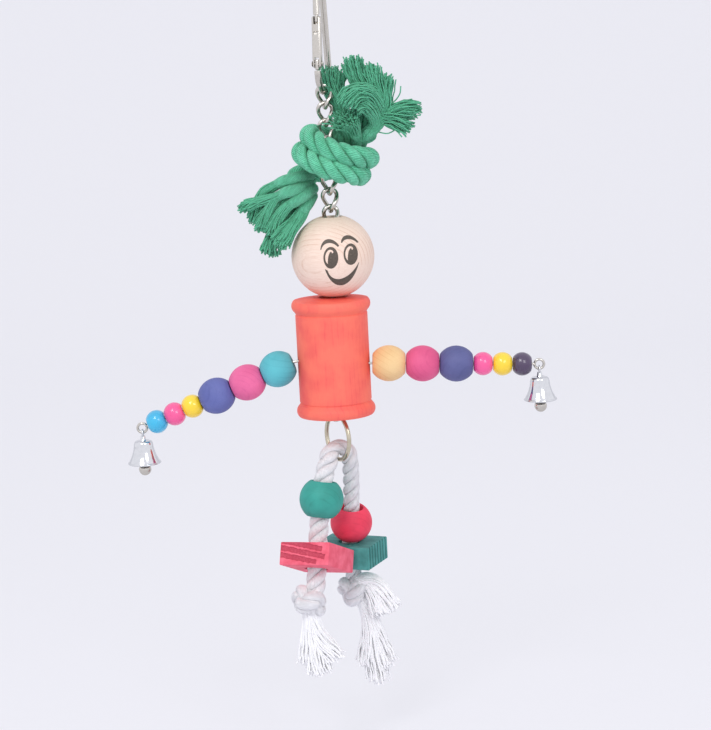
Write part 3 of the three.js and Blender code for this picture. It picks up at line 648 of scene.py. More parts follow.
# %% Fray the green top end
# A bundle is its line, its width at the start and at the tip, its thickness at the tip, its count of
# yarns and, where it opens late, how late.
TOP_BUNDLES = [
    ([*TOP_RIGHT, (22.5, -4, -52), (18, -5, -46), (14.5, -5, -40), (12.5, -5, -29.5)], (4.5, 9), 9, 110),
    ([*TOP_RIGHT, (24, -4, -52), (21.5, -5, -45), (19, -5, -33)], (4.5, 11), 9, 110),
    ([*TOP_RIGHT, (26, -4, -52), (26, -5, -46), (27, -5, -38)], (4.5, 11), 9, 100),
    ([*TOP_RIGHT, (29, -4, -56), (34.5, -5, -54.5), (43, -5, -55.5)], (4.5, 9), 8, 90),
    ([*TOP_RIGHT, (28, -4, -58.5), (32, -5, -60), (38.5, -5, -64)], (4.5, 9), 8, 80),
    ([*TOP_RIGHT, (23.5, -6, -52.5), (20.5, -9, -47.5), (16, -11, -46), (11.5, -13, -48), (8, -13, -53)],
     (4.5, 10), 7, 130),
    ([(16, 0, -66), (21.5, -4, -60.5), (20, -8, -54.5), (16, -10.5, -51.5), (11, -12, -53)],
     (5, 9), 7, 90),
    ([(13, 6, -68), (16, 2, -61), (17.5, 0, -55), (19, -1, -49)], (7, 8), 6, 80),
    ([(8, 6, -66), (8, 3, -58), (6, 2, -50), (4, 2, -43.5), (5, 1, -34)], (5.5, 14), 8, 130),
    ([(9.5, 4, -68), (10, -3, -63.5), (9, -8, -58.5), (8, -12, -55)], (6, 21), 15, 210, 4),
    ([*TOP_LEFT, (7.5, -11, -56.5)], (4.5, 11), 9, 80, 3),
    ([*TOP_MIDDLE, (10, -11, -56.5)], (4.5, 11), 9, 80, 3),
]
TOP_LOOSE = [
    [(24, -4, -54), (30, -5, -51.5), (33, -5.5, -48), (33.6, -6, -44.6)],
    [(22, -3, -64), (27, -4, -65), (31, -4.5, -63.2)],
]
top_tuft = tuft(
    "green_fray_top", 1, GREEN_YARN, TOP_BUNDLES, TOP_LOOSE, shaded_green_yarn, "knot",
)

# %% Fray the green left end
LEFT_BUNDLES = [
    ([*TAIL_UPPER[3:], (-31, -1, -92), (-34.5, 0, -103)], (4, 10), 8, 110),
    ([*TAIL_MIDDLE[3:], (-34, -5, -92.5), (-41, -5, -95.5)], (4, 5.5), 6, 80),
    ([*TAIL_MIDDLE[2:5], (-28, -6, -97), (-33, -5, -106)], (3.5, 8), 7, 90),
    ([*TAIL_LOWER[2:], (-25, -6, -102), (-28, -6, -108)], (4, 8), 7, 110),
    ([*TAIL_RIGHT, (-20.5, -7.5, -107), (-25, -9, -113)], (4, 8), 7, 130),
    ([*TAIL_RIGHT[:2], (-12.5, -3.5, -99), (-17.5, -8, -105.5), (-22.5, -11, -113)], (3.5, 5), 5, 80),
    ([(-14, 4, -95), (-18, 2, -100.5), (-23, -1, -106), (-26.5, -3.5, -111), (-28.5, -5, -117.5)],
     (6, 10), 8, 100),
    ([(-11, 7, -86), (-16, 1, -89), (-21, -1.5, -93), (-25, -2, -99), (-28, -2, -105.5)],
     (7, 14), 6, 170),
]
LEFT_LOOSE = [[(-33, -3, -92), (-37, -4, -92.6), (-41, -4.6, -93.6)]]
left_tuft = tuft(
    "green_fray_left", 2, CLUMPED_YARN, LEFT_BUNDLES, LEFT_LOOSE, shaded_green_yarn, "knot",
)

# %% Fray the white ends
# The bundles of an end share a stem. Each adds a bend, a tip, its widths, its thickness and its count.
WHITE_SEED = 3
WHITE_STEMS = {
    "left": [left_knot, ring_low + (-15.9, -20, -66)],
    "right": [right_knot, ring_low + (8.6, 12.5, -73)],
    "side": [right_knot + (1, -2, 4), ring_low + (10, 10, -60.5)],
}
WHITE_BUNDLES = {
    "left": [
        ((-17, -20, -75), (-18.6, -19, -91), (7, 10), 9, 90),
        ((-15, -20, -75), (-13.2, -21, -95.5), (7, 12), 10, 120),
        ((-13.5, -20, -75), (-4.6, -19, -89.5), (7, 10), 9, 90),
    ],
    "right": [
        ((10, 12, -83), (6.6, 12, -103), (7, 9), 9, 90),
        ((11, 12, -83), (13, 12, -111.5), (7, 10), 10, 120),
        ((12, 12, -83), (18, 12, -104), (7, 9), 9, 90),
    ],
    "side": [
        ((13, 9, -66), (15.2, 8, -78), (7.5, 9), 9, 100),
        ((15, 9, -63.5), (21.4, 9, -76), (7.5, 10), 9, 120),
    ],
}
for seed, (end, stem) in enumerate(WHITE_STEMS.items(), WHITE_SEED):
    bundles = [
        ([*stem, ring_low + bend, ring_low + tip], *values) for bend, tip, *values in WHITE_BUNDLES[end]
    ]
    tuft(
        f"white_fray_{end}", seed, WHITE_YARN, bundles, [], white_cotton, "legs",
    )

# %% [markdown]
# ## How long the ropes are
# Both ropes are made from end to end, so their lengths are those of the lines above. The opened
# ends of the green rope are not counted.

lengths_along(green_line)[-1] * MM
lengths_along(white_line)[-1] * MM

# %% [markdown]
# ## Turned, bent and drilled shapes
# Head, spool, beads, balls and bells are turned on a lathe, so each is a profile spun round its axis.
# Blender's Screw modifier does this too; spinning the corners in code keeps the seam welded. Holes that
# cross a piece are cut with an exact boolean, as a drill cuts them.

# %% Lathe, arcs and drill
BALL_STEPS = 40
EASE_IN, EASE_DOWN = 0.3, 0.25


def turned(profile, segments=72, closed=True):
    """Spins a profile of radius and height pairs round Z. A closed profile has a hole through it."""
    points, rows, faces = [], [], []
    for radius, height in profile:
        count = segments if radius > 1e-6 else 1
        angles = np.arange(count) * 2 * np.pi / segments
        rows.append([len(points) + i % count for i in range(segments)])
        points += [(radius * math.cos(a), radius * math.sin(a), height) for a in angles]
    for lower, upper in zip(rows, [*rows[1:], rows[0]] if closed else rows[1:]):
        for i in range(segments):
            k = (i + 1) % segments
            faces.append(list(dict.fromkeys((lower[i], lower[k], upper[k], upper[i]))))
    return np.array(points), faces


def arc(centre, radius, start, end, steps):
    """Points on a round stretch, from one angle to another in degrees."""
    return [
        (centre[0] + radius * math.cos(a), centre[1] + radius * math.sin(a))
        for a in np.radians(np.linspace(start, end, steps + 1))
    ]


def moved(shape, place):
    """A shape, turned and shifted."""
    return np.array([place @ Vector(point) for point in shape[0]]), shape[1]


def carved(shape, *cutters):
    """A shape with others cut out of it."""
    body = placed("uncut", loose_mesh("uncut", shape))
    tools = [placed("cutter", loose_mesh("cutter", cutter)) for cutter in cutters]
    for tool in tools:
        body.modifiers.new("cut", "BOOLEAN").object = tool
    graph = bpy.context.evaluated_depsgraph_get()
    cut = bpy.data.meshes.new_from_object(body.evaluated_get(graph))
    found = [tuple(v.co) for v in cut.vertices], [list(face.vertices) for face in cut.polygons]
    for made in [body, *tools]:
        bpy.data.objects.remove(made)
    return found


def rod(diameter, length, segments=32):
    """A round rod along Z, centred."""
    return turned([
        (0, -length / 2), (diameter / 2, -length / 2), (diameter / 2, length / 2), (0, length / 2),
    ], segments, closed=False)


def rounded_box(size, bevel, segments=3):
    """A box with rounded edges."""
    work = bmesh.new()
    bmesh.ops.create_cube(work, size=1)
    bmesh.ops.scale(work, vec=Vector(size), verts=work.verts)
    bmesh.ops.bevel(
        work, geom=work.edges[:], offset=bevel, segments=segments, affect="EDGES", profile=0.5,
    )
    work.verts.index_update()
    found = [tuple(v.co) for v in work.verts], [[v.index for v in face.verts] for face in work.faces]
    work.free()
    return found


def boxed(size, bevel, x, z, segments=3):
    """A box with rounded edges, off the middle by x and z."""
    return moved(rounded_box(size, bevel, segments), Matrix.Translation((x, 0, z)))


def drilled_ball(diameter, bore, ease):
    """The profile of a ball with a hole along Z, whose edges are eased by sanding."""
    radius, hole = diameter / 2, bore / 2
    rim = math.degrees(math.acos((hole + ease) / radius))
    outside = arc((0, 0), radius, -rim, rim, BALL_STEPS)
    top = outside[-1][1]
    mouth = [(hole + EASE_IN * ease, top - EASE_DOWN * ease), (hole, top - ease)]
    return [*outside, *mouth, *((x, -z) for x, z in reversed(mouth))]


# %% [markdown]
# ## Bare wood, dyed wood and lacquer
# The head is bare beech, sanded: pale, matt, with thin brown growth lines. It was turned with the grain
# lying sideways and the heart of the tree near its face, so the lines run level above and below and
# close into an oval on one cheek. Beads, balls and spool are the same kind of wood dyed in a bath, so
# the grain shows through as faint streaks and the colour is uneven. The small beads have a clear
# lacquer over the dye, which gives a sharp highlight on a soft one.

# %% Wood
GROWTH_RING = 2.2
# The pores of real beech are too fine to show, so they are drawn as coarse as this.
PORE_WIDTH, PORE_LENGTH, PORE_DEPTH = 0.35, 5, 0.08
LACQUER_FILLS = 0.7
DYE_CLOUD = 11
WAVE_TURN = 20 / (2 * math.pi)
TALL_HEART, TALL_GRAIN = (60, 35, 0), (0, 0, 0)
CROSS_HEART, CROSS_GRAIN = (0, 45, 28), (0, 90, 0)
FACE_HEART, FACE_GRAIN = (-13, -25, -3), (0, 90, -25)


def grained_wood(name, light, dark, line=0.3, cloud=0.4, lacquer=0.0, roughness=0.6, heart=CROSS_HEART,
                 grain=CROSS_GRAIN):
    """Turned wood: growth lines round the tree's heart, pores along the grain and clouds of dye."""
    material, tree = empty_finish(name)
    place = add_node(tree, "TexCoord").outputs["Object"]
    log = add_node(tree, "Mapping", {
        "Vector": place, "Location": [value * MM for value in heart],
        "Rotation": [math.radians(value) for value in grain],
    }, vector_type="TEXTURE")
    rings = add_node(tree, "TexWave", {
        "Vector": log, "Scale": per_mm(GROWTH_RING) / WAVE_TURN, "Distortion": 3.0,
        "Detail": 2.0, "Detail Scale": 0.5, "Detail Roughness": 0.5,
    }, wave_type="RINGS", rings_direction="Z", wave_profile="SAW")
    late_wood = add_node(tree, "MapRange", {
        "Value": rings.outputs["Fac"], "From Min": 0.7, "From Max": 1.0,
    }, interpolation_type="SMOOTHSTEP")
    fine = add_node(tree, "Mapping", {"Vector": log, "Scale": (1, 1, PORE_WIDTH / PORE_LENGTH)})
    pores = add_node(tree, "TexNoise", {
        "Vector": fine, "Scale": per_mm(PORE_WIDTH), "Detail": 2.0, "Roughness": 0.6,
    })
    clouds = add_node(tree, "TexNoise", {"Vector": place, "Scale": per_mm(DYE_CLOUD), "Detail": 3.0})
    cloudy = add_node(tree, "MapRange", {
        "Value": clouds.outputs["Fac"], "From Min": 0.38, "From Max": 0.7,
    })
    streaky = add_node(tree, "Math", {
        0: late_wood, 1: cloudy, 2: pores.outputs["Fac"],
    }, operation="MULTIPLY_ADD")
    drawn = add_node(tree, "MapRange", {
        "Value": streaky, "From Min": 0.35, "From Max": 1.1, "To Max": line,
    })
    share = add_node(tree, "Math", {
        0: cloudy, 1: cloud, 2: drawn,
    }, operation="MULTIPLY_ADD", use_clamp=True)
    colour = add_node(tree, "MixRGB", {
        "Fac": share, "Color1": linear(light), "Color2": linear(dark),
    })
    bump = add_node(tree, "Bump", {
        "Height": pores.outputs["Fac"], "Strength": 0.25 * (1 - LACQUER_FILLS * lacquer),
        "Distance": PORE_DEPTH * MM,
    })
    close_finish(tree, {
        "Base Color": colour, "Roughness": roughness, "IOR": 1.5, "Coat Weight": lacquer,
        "Coat Roughness": 0.04, "Normal": bump,
    })
    return material


sanded_beech = grained_wood(
    "sanded_bare_beech", "#F6DFCF", "#CF9F7F", line=0.5, cloud=0.04, roughness=0.62, heart=FACE_HEART,
    grain=FACE_GRAIN,
)
dyed_spool = grained_wood(
    "dyed_coral_beech", "#FF7862", "#EC4E52", cloud=0.5, heart=TALL_HEART, grain=TALL_GRAIN,
)

# %% [markdown]
# ## The head
# The head is a 37 mm ball with a hole from top to bottom for the wire that carries the figure.

# %% Turn the head
HEAD_EASE = 0.7
HEAD_BORE = 9.4

head_low, head_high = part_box("head")
head_radius = (head_high.x - head_low.x) / 2 / MM
head_middle = (head_low + head_high) / 2 / MM
piece(
    "head_ball", turned(drilled_ball(2 * head_radius, HEAD_BORE, HEAD_EASE), 96), sanded_beech, "head",
    ("head",), place=Matrix.Translation(head_middle), crease=50,
)

# %% [markdown]
# ## The printed face
# The doll's face is pad printed: a soft pad carries the ink from a flat plate and presses it on the
# ball, so the drawing is flat and wraps round as it lands. It is done the same way here: every corner
# of the flat drawing moves straight back until it meets the ball. A brow or a mouth is the space
# between two arcs, and an eye is an oval with a bare highlight beside the pupil.

# %% Print the face
FACE_LIFT = 6.5
FACE_TURN = 1.0
FACE_LEAN = 2.9
INK, INK_SPECK = 0.04, 0.7
STROKE_STEPS, STROKE_ROWS = 40, 6
STROKE_OVAL = 0.45
LEFT_BROW = ((-5.5, 2.65), (-2.5, 7.3), (2.75, 4.5)), ((-5.1, 2.65), (-2.2, 5.6), (2.1, 3.9))
RIGHT_BROW = ((3.5, 5.75), (6.3, 9.1), (11.3, 6.1)), ((4.1, 5.75), (6.9, 7.4), (10.6, 5.75))
MOUTH = ((-3.5, -5.75), (4.2, -12.8), (11.5, -2.6)), ((-2.3, -6.4), (3.8, -9.9), (11.4, -2.6))
LEFT_EYE = ((-0.92, -0.8), (3.25, 4.75))
RIGHT_EYE = ((7.8, 0.8), (3.15, 4.7))
EYE_STEP, PUPIL_CENTRE = 4, 0.02
HIGHLIGHT_TURN = (55, 65, 75, 85, 100, 120, 150, 180, 210, 237)
HIGHLIGHT_INNER = (0.6, 0.42, 0.48, 0.57, 0.52, 0.42, 0.36, 0.35, 0.45, 0.69)
HIGHLIGHT_OUTER = (0.6, 0.68, 0.71, 0.73, 0.75, 0.76, 0.76, 0.76, 0.75, 0.69)


def through(start, middle, end):
    """Points on the oval arc from start to end that passes the middle halfway."""
    t = np.linspace(0, 1, STROKE_STEPS + 1)[:, None]
    start, middle, end = np.array(start), np.array(middle), np.array(end)
    bent = 2 * t * (1 - t)
    pull = (1 + STROKE_OVAL) * middle - (start + end) / 2
    return ((1 - t) ** 2 * start + bent * pull + t * t * end) / (1 - bent + STROKE_OVAL * bent)


def filled(outer, inner, closed=False):
    """The flat space between two lines of as many points, as rows of faces."""
    rows = [outer + (inner - outer) * share for share in np.linspace(0, 1, STROKE_ROWS + 1)]
    grid = np.arange(len(rows) * len(outer)).reshape(len(rows), len(outer))
    grid = np.concatenate([grid, grid[:, :1]], 1) if closed else grid
    faces = np.stack([grid[:-1, :-1], grid[:-1, 1:], grid[1:, 1:], grid[1:, :-1]], -1).reshape(-1, 4)
    return np.concatenate(rows), faces.tolist()


def stroke(outer, inner):
    """A brow or a mouth: the space between two arcs."""
    return filled(through(*outer), through(*inner))


def printed_eye(middle, half):
    """The eye's rim and its pupil, which meet except at the highlight."""
    turn = np.arange(0, 360, EYE_STEP)
    ring = np.stack([np.cos(np.radians(turn)), np.sin(np.radians(turn))], 1) * half
    inner = np.interp(turn, HIGHLIGHT_TURN, HIGHLIGHT_INNER)[:, None]
    outer = np.interp(turn, HIGHLIGHT_TURN, HIGHLIGHT_OUTER)[:, None]
    middle = np.array(middle)
    rim = filled(middle + ring, middle + ring * outer, True)
    pupil = filled(middle + ring * inner, middle + ring * PUPIL_CENTRE, True)
    return rim, pupil


def on_the_ball(shape):
    """Presses a flat drawing straight back on the head."""
    lift, turn, lean = (math.radians(value) for value in (FACE_LIFT, FACE_TURN, FACE_LEAN))
    facing = Vector((math.sin(turn) * math.cos(lift), -math.cos(turn) * math.cos(lift), math.sin(lift)))
    upward = Vector((math.cos(lean), 0, -math.sin(lean))).cross(-facing).normalized()
    right = upward.cross(facing)
    reach = head_radius + INK
    points = [
        right * x + upward * z + facing * math.sqrt(reach ** 2 - x * x - z * z) for x, z in shape[0]
    ]
    return points, shape[1]


def pad_print_ink():
    """Printing ink on wood: dark, matt, and thin enough to look a little uneven."""
    material, tree = empty_finish("pad_printed_ink")
    place = add_node(tree, "TexCoord").outputs["Object"]
    thin = add_node(tree, "TexNoise", {"Vector": place, "Scale": per_mm(INK_SPECK), "Detail": 3.0})
    colour = add_node(tree, "MixRGB", {
        "Fac": thin.outputs["Fac"], "Color1": linear("#40382F"), "Color2": linear("#655A50"),
    })
    close_finish(tree, {"Base Color": colour, "Roughness": 0.55})
    return material


drawing = [
    stroke(*LEFT_BROW), stroke(*RIGHT_BROW), stroke(*MOUTH),
    *printed_eye(*LEFT_EYE), *printed_eye(*RIGHT_EYE),
]
face = joined(*(on_the_ball(shape) for shape in drawing))
piece("face_print", face, pad_print_ink(), "head", place=Matrix.Translation(head_middle))

# %% [markdown]
# ## The spool
# The body is a wooden thread spool: a straight barrel between two round rims, with a hole for the
# carrying wire, a wider mouth below for the ring, and a thin cross hole for the arms.

# %% Turn the spool
SPOOL_BARREL = 32.4
SPOOL_RIM_HEIGHT = 6.8
RIM_FROM, RIM_STEPS, RIM_CLEAR = -74, 14, 0.15
SPOOL_BORE, BORE_EASE, BORE_ROUND = 10, 0.8, 0.2
SPOOL_MOUTH, SPOOL_MOUTH_DEPTH, MOUTH_EASE = 13.2, 3.5, 0.5
NECK_GROOVE, GROOVE_START, GROOVE_BOTTOM = 0.35, 0.9, 0.3
BARREL_ROWS = 12
ARM_HOLE = 2.2

spool_low, spool_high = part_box("spool")
spool_rim = (spool_high.x - spool_low.x) / 2 / MM
spool_height = (spool_high.z - spool_low.z) / MM
spool_top = Vector(((spool_low.x + spool_high.x) / 2, 0, spool_high.z)) / MM


def rim_profile(z, sign):
    """A round rim from the barrel to the end face; sign is 1 at the top and -1 at the bottom."""
    barrel, half = SPOOL_BARREL / 2, SPOOL_RIM_HEIGHT / 2
    bulge = arc((0, 0), 1, RIM_FROM, 90, RIM_STEPS)
    swell = [(spool_rim - half + half * x, z - sign * half + sign * half * y) for x, y in bulge]
    neck = [
        (barrel, z - sign * (2 * half + GROOVE_START)),
        (barrel - NECK_GROOVE, z - sign * (2 * half + GROOVE_BOTTOM)),
    ]
    return neck + [point for point in swell if point[0] > barrel + RIM_CLEAR]


def spool_profile():
    """The spool from its mouth, up the outside and down to its hole; its top face is at 0."""
    bore, mouth = SPOOL_BORE / 2, SPOOL_MOUTH / 2
    upper = rim_profile(0, 1)
    lower = rim_profile(-spool_height, -1)[::-1]
    barrel = [(SPOOL_BARREL / 2, z) for z in np.linspace(lower[-1][1], upper[0][1], BARREL_ROWS)[1:-1]]
    roof = SPOOL_MOUTH_DEPTH - spool_height
    return [
        (bore, roof + mouth - bore), (mouth, roof),
        (mouth, MOUTH_EASE - spool_height), (mouth + MOUTH_EASE, -spool_height),
        *lower, *barrel, *upper,
        (bore + BORE_EASE, 0), (bore + BORE_ROUND, -BORE_ROUND), (bore, -BORE_EASE),
    ]


arm_hole = on_axis(joint_at("arm_turn") - spool_top, joints["arm_turn"]["axis"])
spool = carved(turned(spool_profile(), 96), moved(rod(ARM_HOLE, 3 * spool_rim), arm_hole))
piece(
    "spool_body", spool, dyed_spool, "spool", ("spool",), Matrix.Translation(spool_top),
    crease=30,
)

# %% [markdown]
# ## Bright metal
# Hook, chain and wires are steel wire with a thin nickel plate. Nickel is a slightly warm, bright grey.
# Drawing the wire leaves faint marks, so the highlight is a little soft and uneven. The bells are
# stamped from sheet and chromed, which is cooler and sharper.

# %% Plated metal
# Marks on real plate are too fine to show, so they are drawn as coarse as this.
PLATE_MARK, PLATE_RELIEF = 1.5, 0.05


def plated(name, light, dark, roughness):
    """Bright plate: clean metal with small marks that break up its reflection."""
    material, tree = empty_finish(name)
    place = add_node(tree, "TexCoord").outputs["Object"]
    marks = add_node(tree, "TexNoise", {
        "Vector": place, "Scale": per_mm(PLATE_MARK), "Detail": 4.0, "Roughness": 0.6,
    })
    rough = add_node(tree, "MapRange", {
        "Value": marks.outputs["Fac"], "From Min": 0.3, "From Max": 0.7,
        "To Min": 0.7 * roughness, "To Max": 1.5 * roughness,
    })
    colour = add_node(tree, "MixRGB", {
        "Fac": marks.outputs["Fac"], "Color1": linear(light), "Color2": linear(dark),
    })
    bump = add_node(tree, "Bump", {
        "Height": marks.outputs["Fac"], "Strength": 0.08, "Distance": PLATE_RELIEF * MM,
    })
    close_finish(tree, {"Base Color": colour, "Metallic": 1.0, "Roughness": rough, "Normal": bump})
    return material


nickel_wire = plated("nickel_plated_wire", "#D6D2CB", "#B9B4AC", roughness=0.2)
ring_nickel = plated("worn_nickel_ring", "#D8D0BC", "#B7AD97", roughness=0.2)
chromed_sheet = plated("chromed_sheet", "#E3E4E6", "#C9CBCE", roughness=0.1)

# %% [markdown]
# ## The snap hook
# The hook is bent from 3 mm wire, narrow at the top and wide at the bottom. Its gate is a folded sleeve
# that turns on a rivet and closes on the wire's nose. It is modelled flat, as it would lie on a bench,
# and then turned to where it hangs.

# %% Bend the hook
HOOK_WIRE, HOOK_STEP = 3, 0.7
HOOK_TURN = 75
HOOK_TOP, HOOK_TOP_RADIUS = -3.5, 5
HOOK_BOTTOM, HOOK_BOTTOM_RADIUS = -37, 8.5
GATE_LENGTH, GATE_HEEL = 20.8, 1.9
GATE_DEPTH, GATE_WIDTH, GATE_EDGE = 3.4, 4.2, 1.25
NOSE = GATE_LENGTH + 0.4
HEEL_END = GATE_HEEL + 1.1
NOSE_TONGUE, NOSE_TONGUE_BELOW = ((2, 1.4, 4.2), 0.3), 1.1
HEEL_TONGUE, HEEL_TONGUE_BELOW = ((3, 1.6, 4.6), 0.4), 0.4
FORK, FORK_BELOW = ((8, 2.2, 6), 0.2), 0.35
NOTCH, NOTCH_OUT, NOTCH_BELOW = ((3.4, 2.0, 5.8), 0.2), 0.4, 0.9
SLIT, SLIT_HEIGHT = ((1.6, 2.4, 1.3), 0.3), 13.3
RIVET_HEAD, RIVET_HEAD_HEIGHT = 2.6, 0.5
RIVET_SHANK, RIVET_PLAY = 1.5, 0.1

hook_place = turning(HOOK_TURN)
lean = math.atan2(HOOK_BOTTOM_RADIUS - HOOK_TOP_RADIUS, HOOK_TOP - HOOK_BOTTOM)
rivet = hook_place.inverted() @ joint_at("gate_swing")
gate_place = Matrix.Translation(rivet) @ Matrix.Rotation(lean, 4, "Y")


def on_gate(z):
    """A point on the gate's middle line, this far above its rivet."""
    return tuple(gate_place @ Vector((0, 0, z)))


bends = [
    *arc((0, HOOK_TOP), HOOK_TOP_RADIUS, 180, 0, 24),
    *arc((0, HOOK_BOTTOM), HOOK_BOTTOM_RADIUS, 0, -180, 32),
]
hook_line = [on_gate(NOSE), *((x, 0, z) for x, z in bends), on_gate(-HEEL_END)]
tongues = [
    moved(rounded_box(*tongue), gate_place @ Matrix.Translation((0, 0, z)))
    for tongue, z in ((NOSE_TONGUE, NOSE - NOSE_TONGUE_BELOW), (HEEL_TONGUE, -HEEL_TONGUE_BELOW))
]
hook = joined(wire(spaced(hook_line, HOOK_STEP), HOOK_WIRE, 24), *tongues)
piece("hook_wire", hook, nickel_wire, "hook", ("hook_frame",), hook_place)

# %% Fold the gate
bar_size = (GATE_DEPTH, GATE_WIDTH, GATE_LENGTH + GATE_HEEL)
bar = boxed(bar_size, GATE_EDGE, 0, (GATE_LENGTH - GATE_HEEL) / 2, 5)
fork = boxed(*FORK, 0, -FORK_BELOW)
notch = boxed(*NOTCH, -NOTCH_OUT, GATE_LENGTH - NOTCH_BELOW)
slit = boxed(*SLIT, -GATE_DEPTH / 2, SLIT_HEIGHT)
gate = carved(bar, fork, notch, slit)
piece("gate_sleeve", gate, nickel_wire, "gate", ("hook_gate",), hook_place @ gate_place)

# %% Set the rivet
rivet_end = GATE_WIDTH / 2 + RIVET_PLAY + RIVET_HEAD_HEIGHT
dome = arc((0, 0), 1, 0, 90, 8)
head_side = [(RIVET_HEAD / 2 * x, rivet_end - RIVET_HEAD_HEIGHT * (1 - y)) for x, y in dome]
shank = [(RIVET_SHANK / 2, -GATE_WIDTH / 2), (RIVET_SHANK / 2, GATE_WIDTH / 2)]
rivet_profile = [(x, -z) for x, z in reversed(head_side)] + shank + head_side
piece(
    "rivet_domed", turned(rivet_profile, 32, closed=False), nickel_wire, "gate",
    ("gate_rivet",), hook_place @ gate_place @ turning(90, "X"),
)

# %% [markdown]
# ## The chain
# Eight links of 1.9 mm wire carry the figure. Each is a ring pulled long and then twisted a quarter
# turn, so that the chain hangs straight. Twisting the ring's line, and not the finished tube, keeps the
# wire round. A small swelling on one side is the weld that closes the link.

# %% Make the links
LINK_WIRE = 1.9
LINK_WIDTH = 8.2
LINK_LENGTH = 11.7
LINK_TURN = -30
LINK_TWIST = 90
TWIST_REACH = 4.4
LINK_ROUNDS = 0.25
WELD, WELD_REACH = 0.16, 0.16
LINK_BODIES = ("link_1", "link_2", "knot", "knot", "knot", "link_6", "link_7", "core")


def link_shape():
    """A long ring of wire, twisted about its length and swollen at its weld."""
    angles = np.linspace(0, 2 * np.pi, 72, endpoint=False)
    radius = (LINK_WIDTH - LINK_WIRE) / 2
    rise = np.sin(angles)
    x = radius * np.cos(angles)
    z = radius * rise + (LINK_LENGTH - LINK_WIDTH) / 2 * np.clip(rise / LINK_ROUNDS, -1, 1)
    twist = np.radians(LINK_TWIST / 2 * np.sin(np.clip(z / TWIST_REACH, -1, 1) * np.pi / 2))
    swell = 1 + WELD * np.exp(-(np.minimum(angles, 2 * np.pi - angles) / WELD_REACH) ** 2)
    line = np.stack([x * np.cos(twist), x * np.sin(twist), z], 1)
    return wire(line, LINK_WIRE * swell, 16, closed=True)


for count, body in enumerate(LINK_BODIES, 1):
    low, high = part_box(f"chain_link_{count}")
    piece(
        f"link_{count}_twisted", link_shape(), nickel_wire, body, (f"chain_link_{count}",),
        Matrix.Translation((low + high) / 2 / MM) @ turning(LINK_TURN),
    )

# %% [markdown]
# ## The arm wire
# One thin wire goes through the spool, is bent down a little on each side and ends in an eye at each
# hand. The wire is one line: round one eye, along the arm, through the spool and round the other eye.

# %% Bend the arm wire
ARM_WIRE, ARM_STEP = 1.2, 0.5
ARM_EYE, EYE_TURN, EYE_DROP, EYE_LEAD = 5.4, 345, 2.1, 1.2
ARM_OUT, BEND_REACH = 16.6, 1.0

arm_middle = joint_at("arm_turn")
arm_axis = Vector(joints["arm_turn"]["axis"])
arm_line = []
for side, sign in (("left", -1), ("right", 1)):
    heading = Vector(joints[f"{side}_bead_1_spin"]["axis"])
    hand = joint_at(f"{side}_bell_swing") + Vector((0, 0, EYE_DROP))
    bend = arm_middle + arm_axis * (sign * ARM_OUT / arm_axis.x)
    loop = (ARM_EYE - ARM_WIRE) / 2
    start = math.degrees(math.atan2(-heading.z, -heading.x))
    eye_round = arc((hand.x, hand.z), loop, start + EYE_TURN, start, 36)
    lead = [hand - heading * (loop + EYE_LEAD), bend + heading * BEND_REACH, bend - arm_axis * sign]
    arm_line.append([*((x, hand.y, z) for x, z in eye_round), *(tuple(point) for point in lead)])
left_part, right_part = arm_line
arm = wire(spaced([*left_part, *reversed(right_part)], ARM_STEP), ARM_WIRE, 14)
piece("arm_wire_bent", arm, nickel_wire, "arm", ("arm_wire",))

# %% [markdown]
# ## Beads on the arms
# Each arm has three large dyed beads and three small lacquered ones. A bead is a barrel: an arc spun
# round the hole, cut flat at both ends, with its edges eased. The joint that lets a bead spin gives its
# middle and its axis.

# %% Dyes for the beads
LACQUERED = {"line": 0.1, "lacquer": 1, "roughness": 0.4}

bead_dyes = {
    "bead_turquoise": grained_wood("dyed_turquoise_beech", "#5FC0CA", "#3E9CAA"),
    "bead_pink": grained_wood("dyed_pink_beech", "#EE6FA2", "#D04E86"),
    "bead_indigo": grained_wood("dyed_indigo_beech", "#666FAF", "#4A5292"),
    "bead_natural": grained_wood("oiled_yellow_beech", "#F3CF97", "#DDB176", line=0.4),
    "bead_magenta": grained_wood("dyed_magenta_beech", "#E65F8E", "#CB4176"),
    "bead_slate": grained_wood("dyed_slate_beech", "#5F6397", "#464A7C"),
    "bead_yellow": grained_wood("lacquered_yellow", "#FDDA20", "#F5C30C", cloud=0.3, **LACQUERED),
    "bead_hot_pink": grained_wood("lacquered_hot_pink", "#F9559B", "#EA3A80", cloud=0.3, **LACQUERED),
    "bead_sky": grained_wood("lacquered_sky_blue", "#2CBCE6", "#149BCE", cloud=0.5, **LACQUERED),
    "bead_aubergine": grained_wood("lacquered_aubergine", "#412A52", "#2C1939", cloud=0.3, **LACQUERED),
}

# %% Turn the beads
BIG_BEAD = (16.2, 14.8, 8.4)
SMALL_BEAD = (10.6, 8.5, 5.8)
BIG_BEADS = 3
BEAD_BORE, BEAD_CHAMFER = 2.2, 0.2
BEAD_EASE, BEAD_EASE_DOWN = 0.5, 0.15
# Each bead is turned on by this many radians, so that its grain isn't its neighbour's.
BEAD_TURN = 1.3
BEAD_ROWS = {
    "left": ("turquoise", "pink", "indigo", "yellow", "hot_pink", "sky"),
    "right": ("natural", "magenta", "slate", "hot_pink", "yellow", "aubergine"),
}


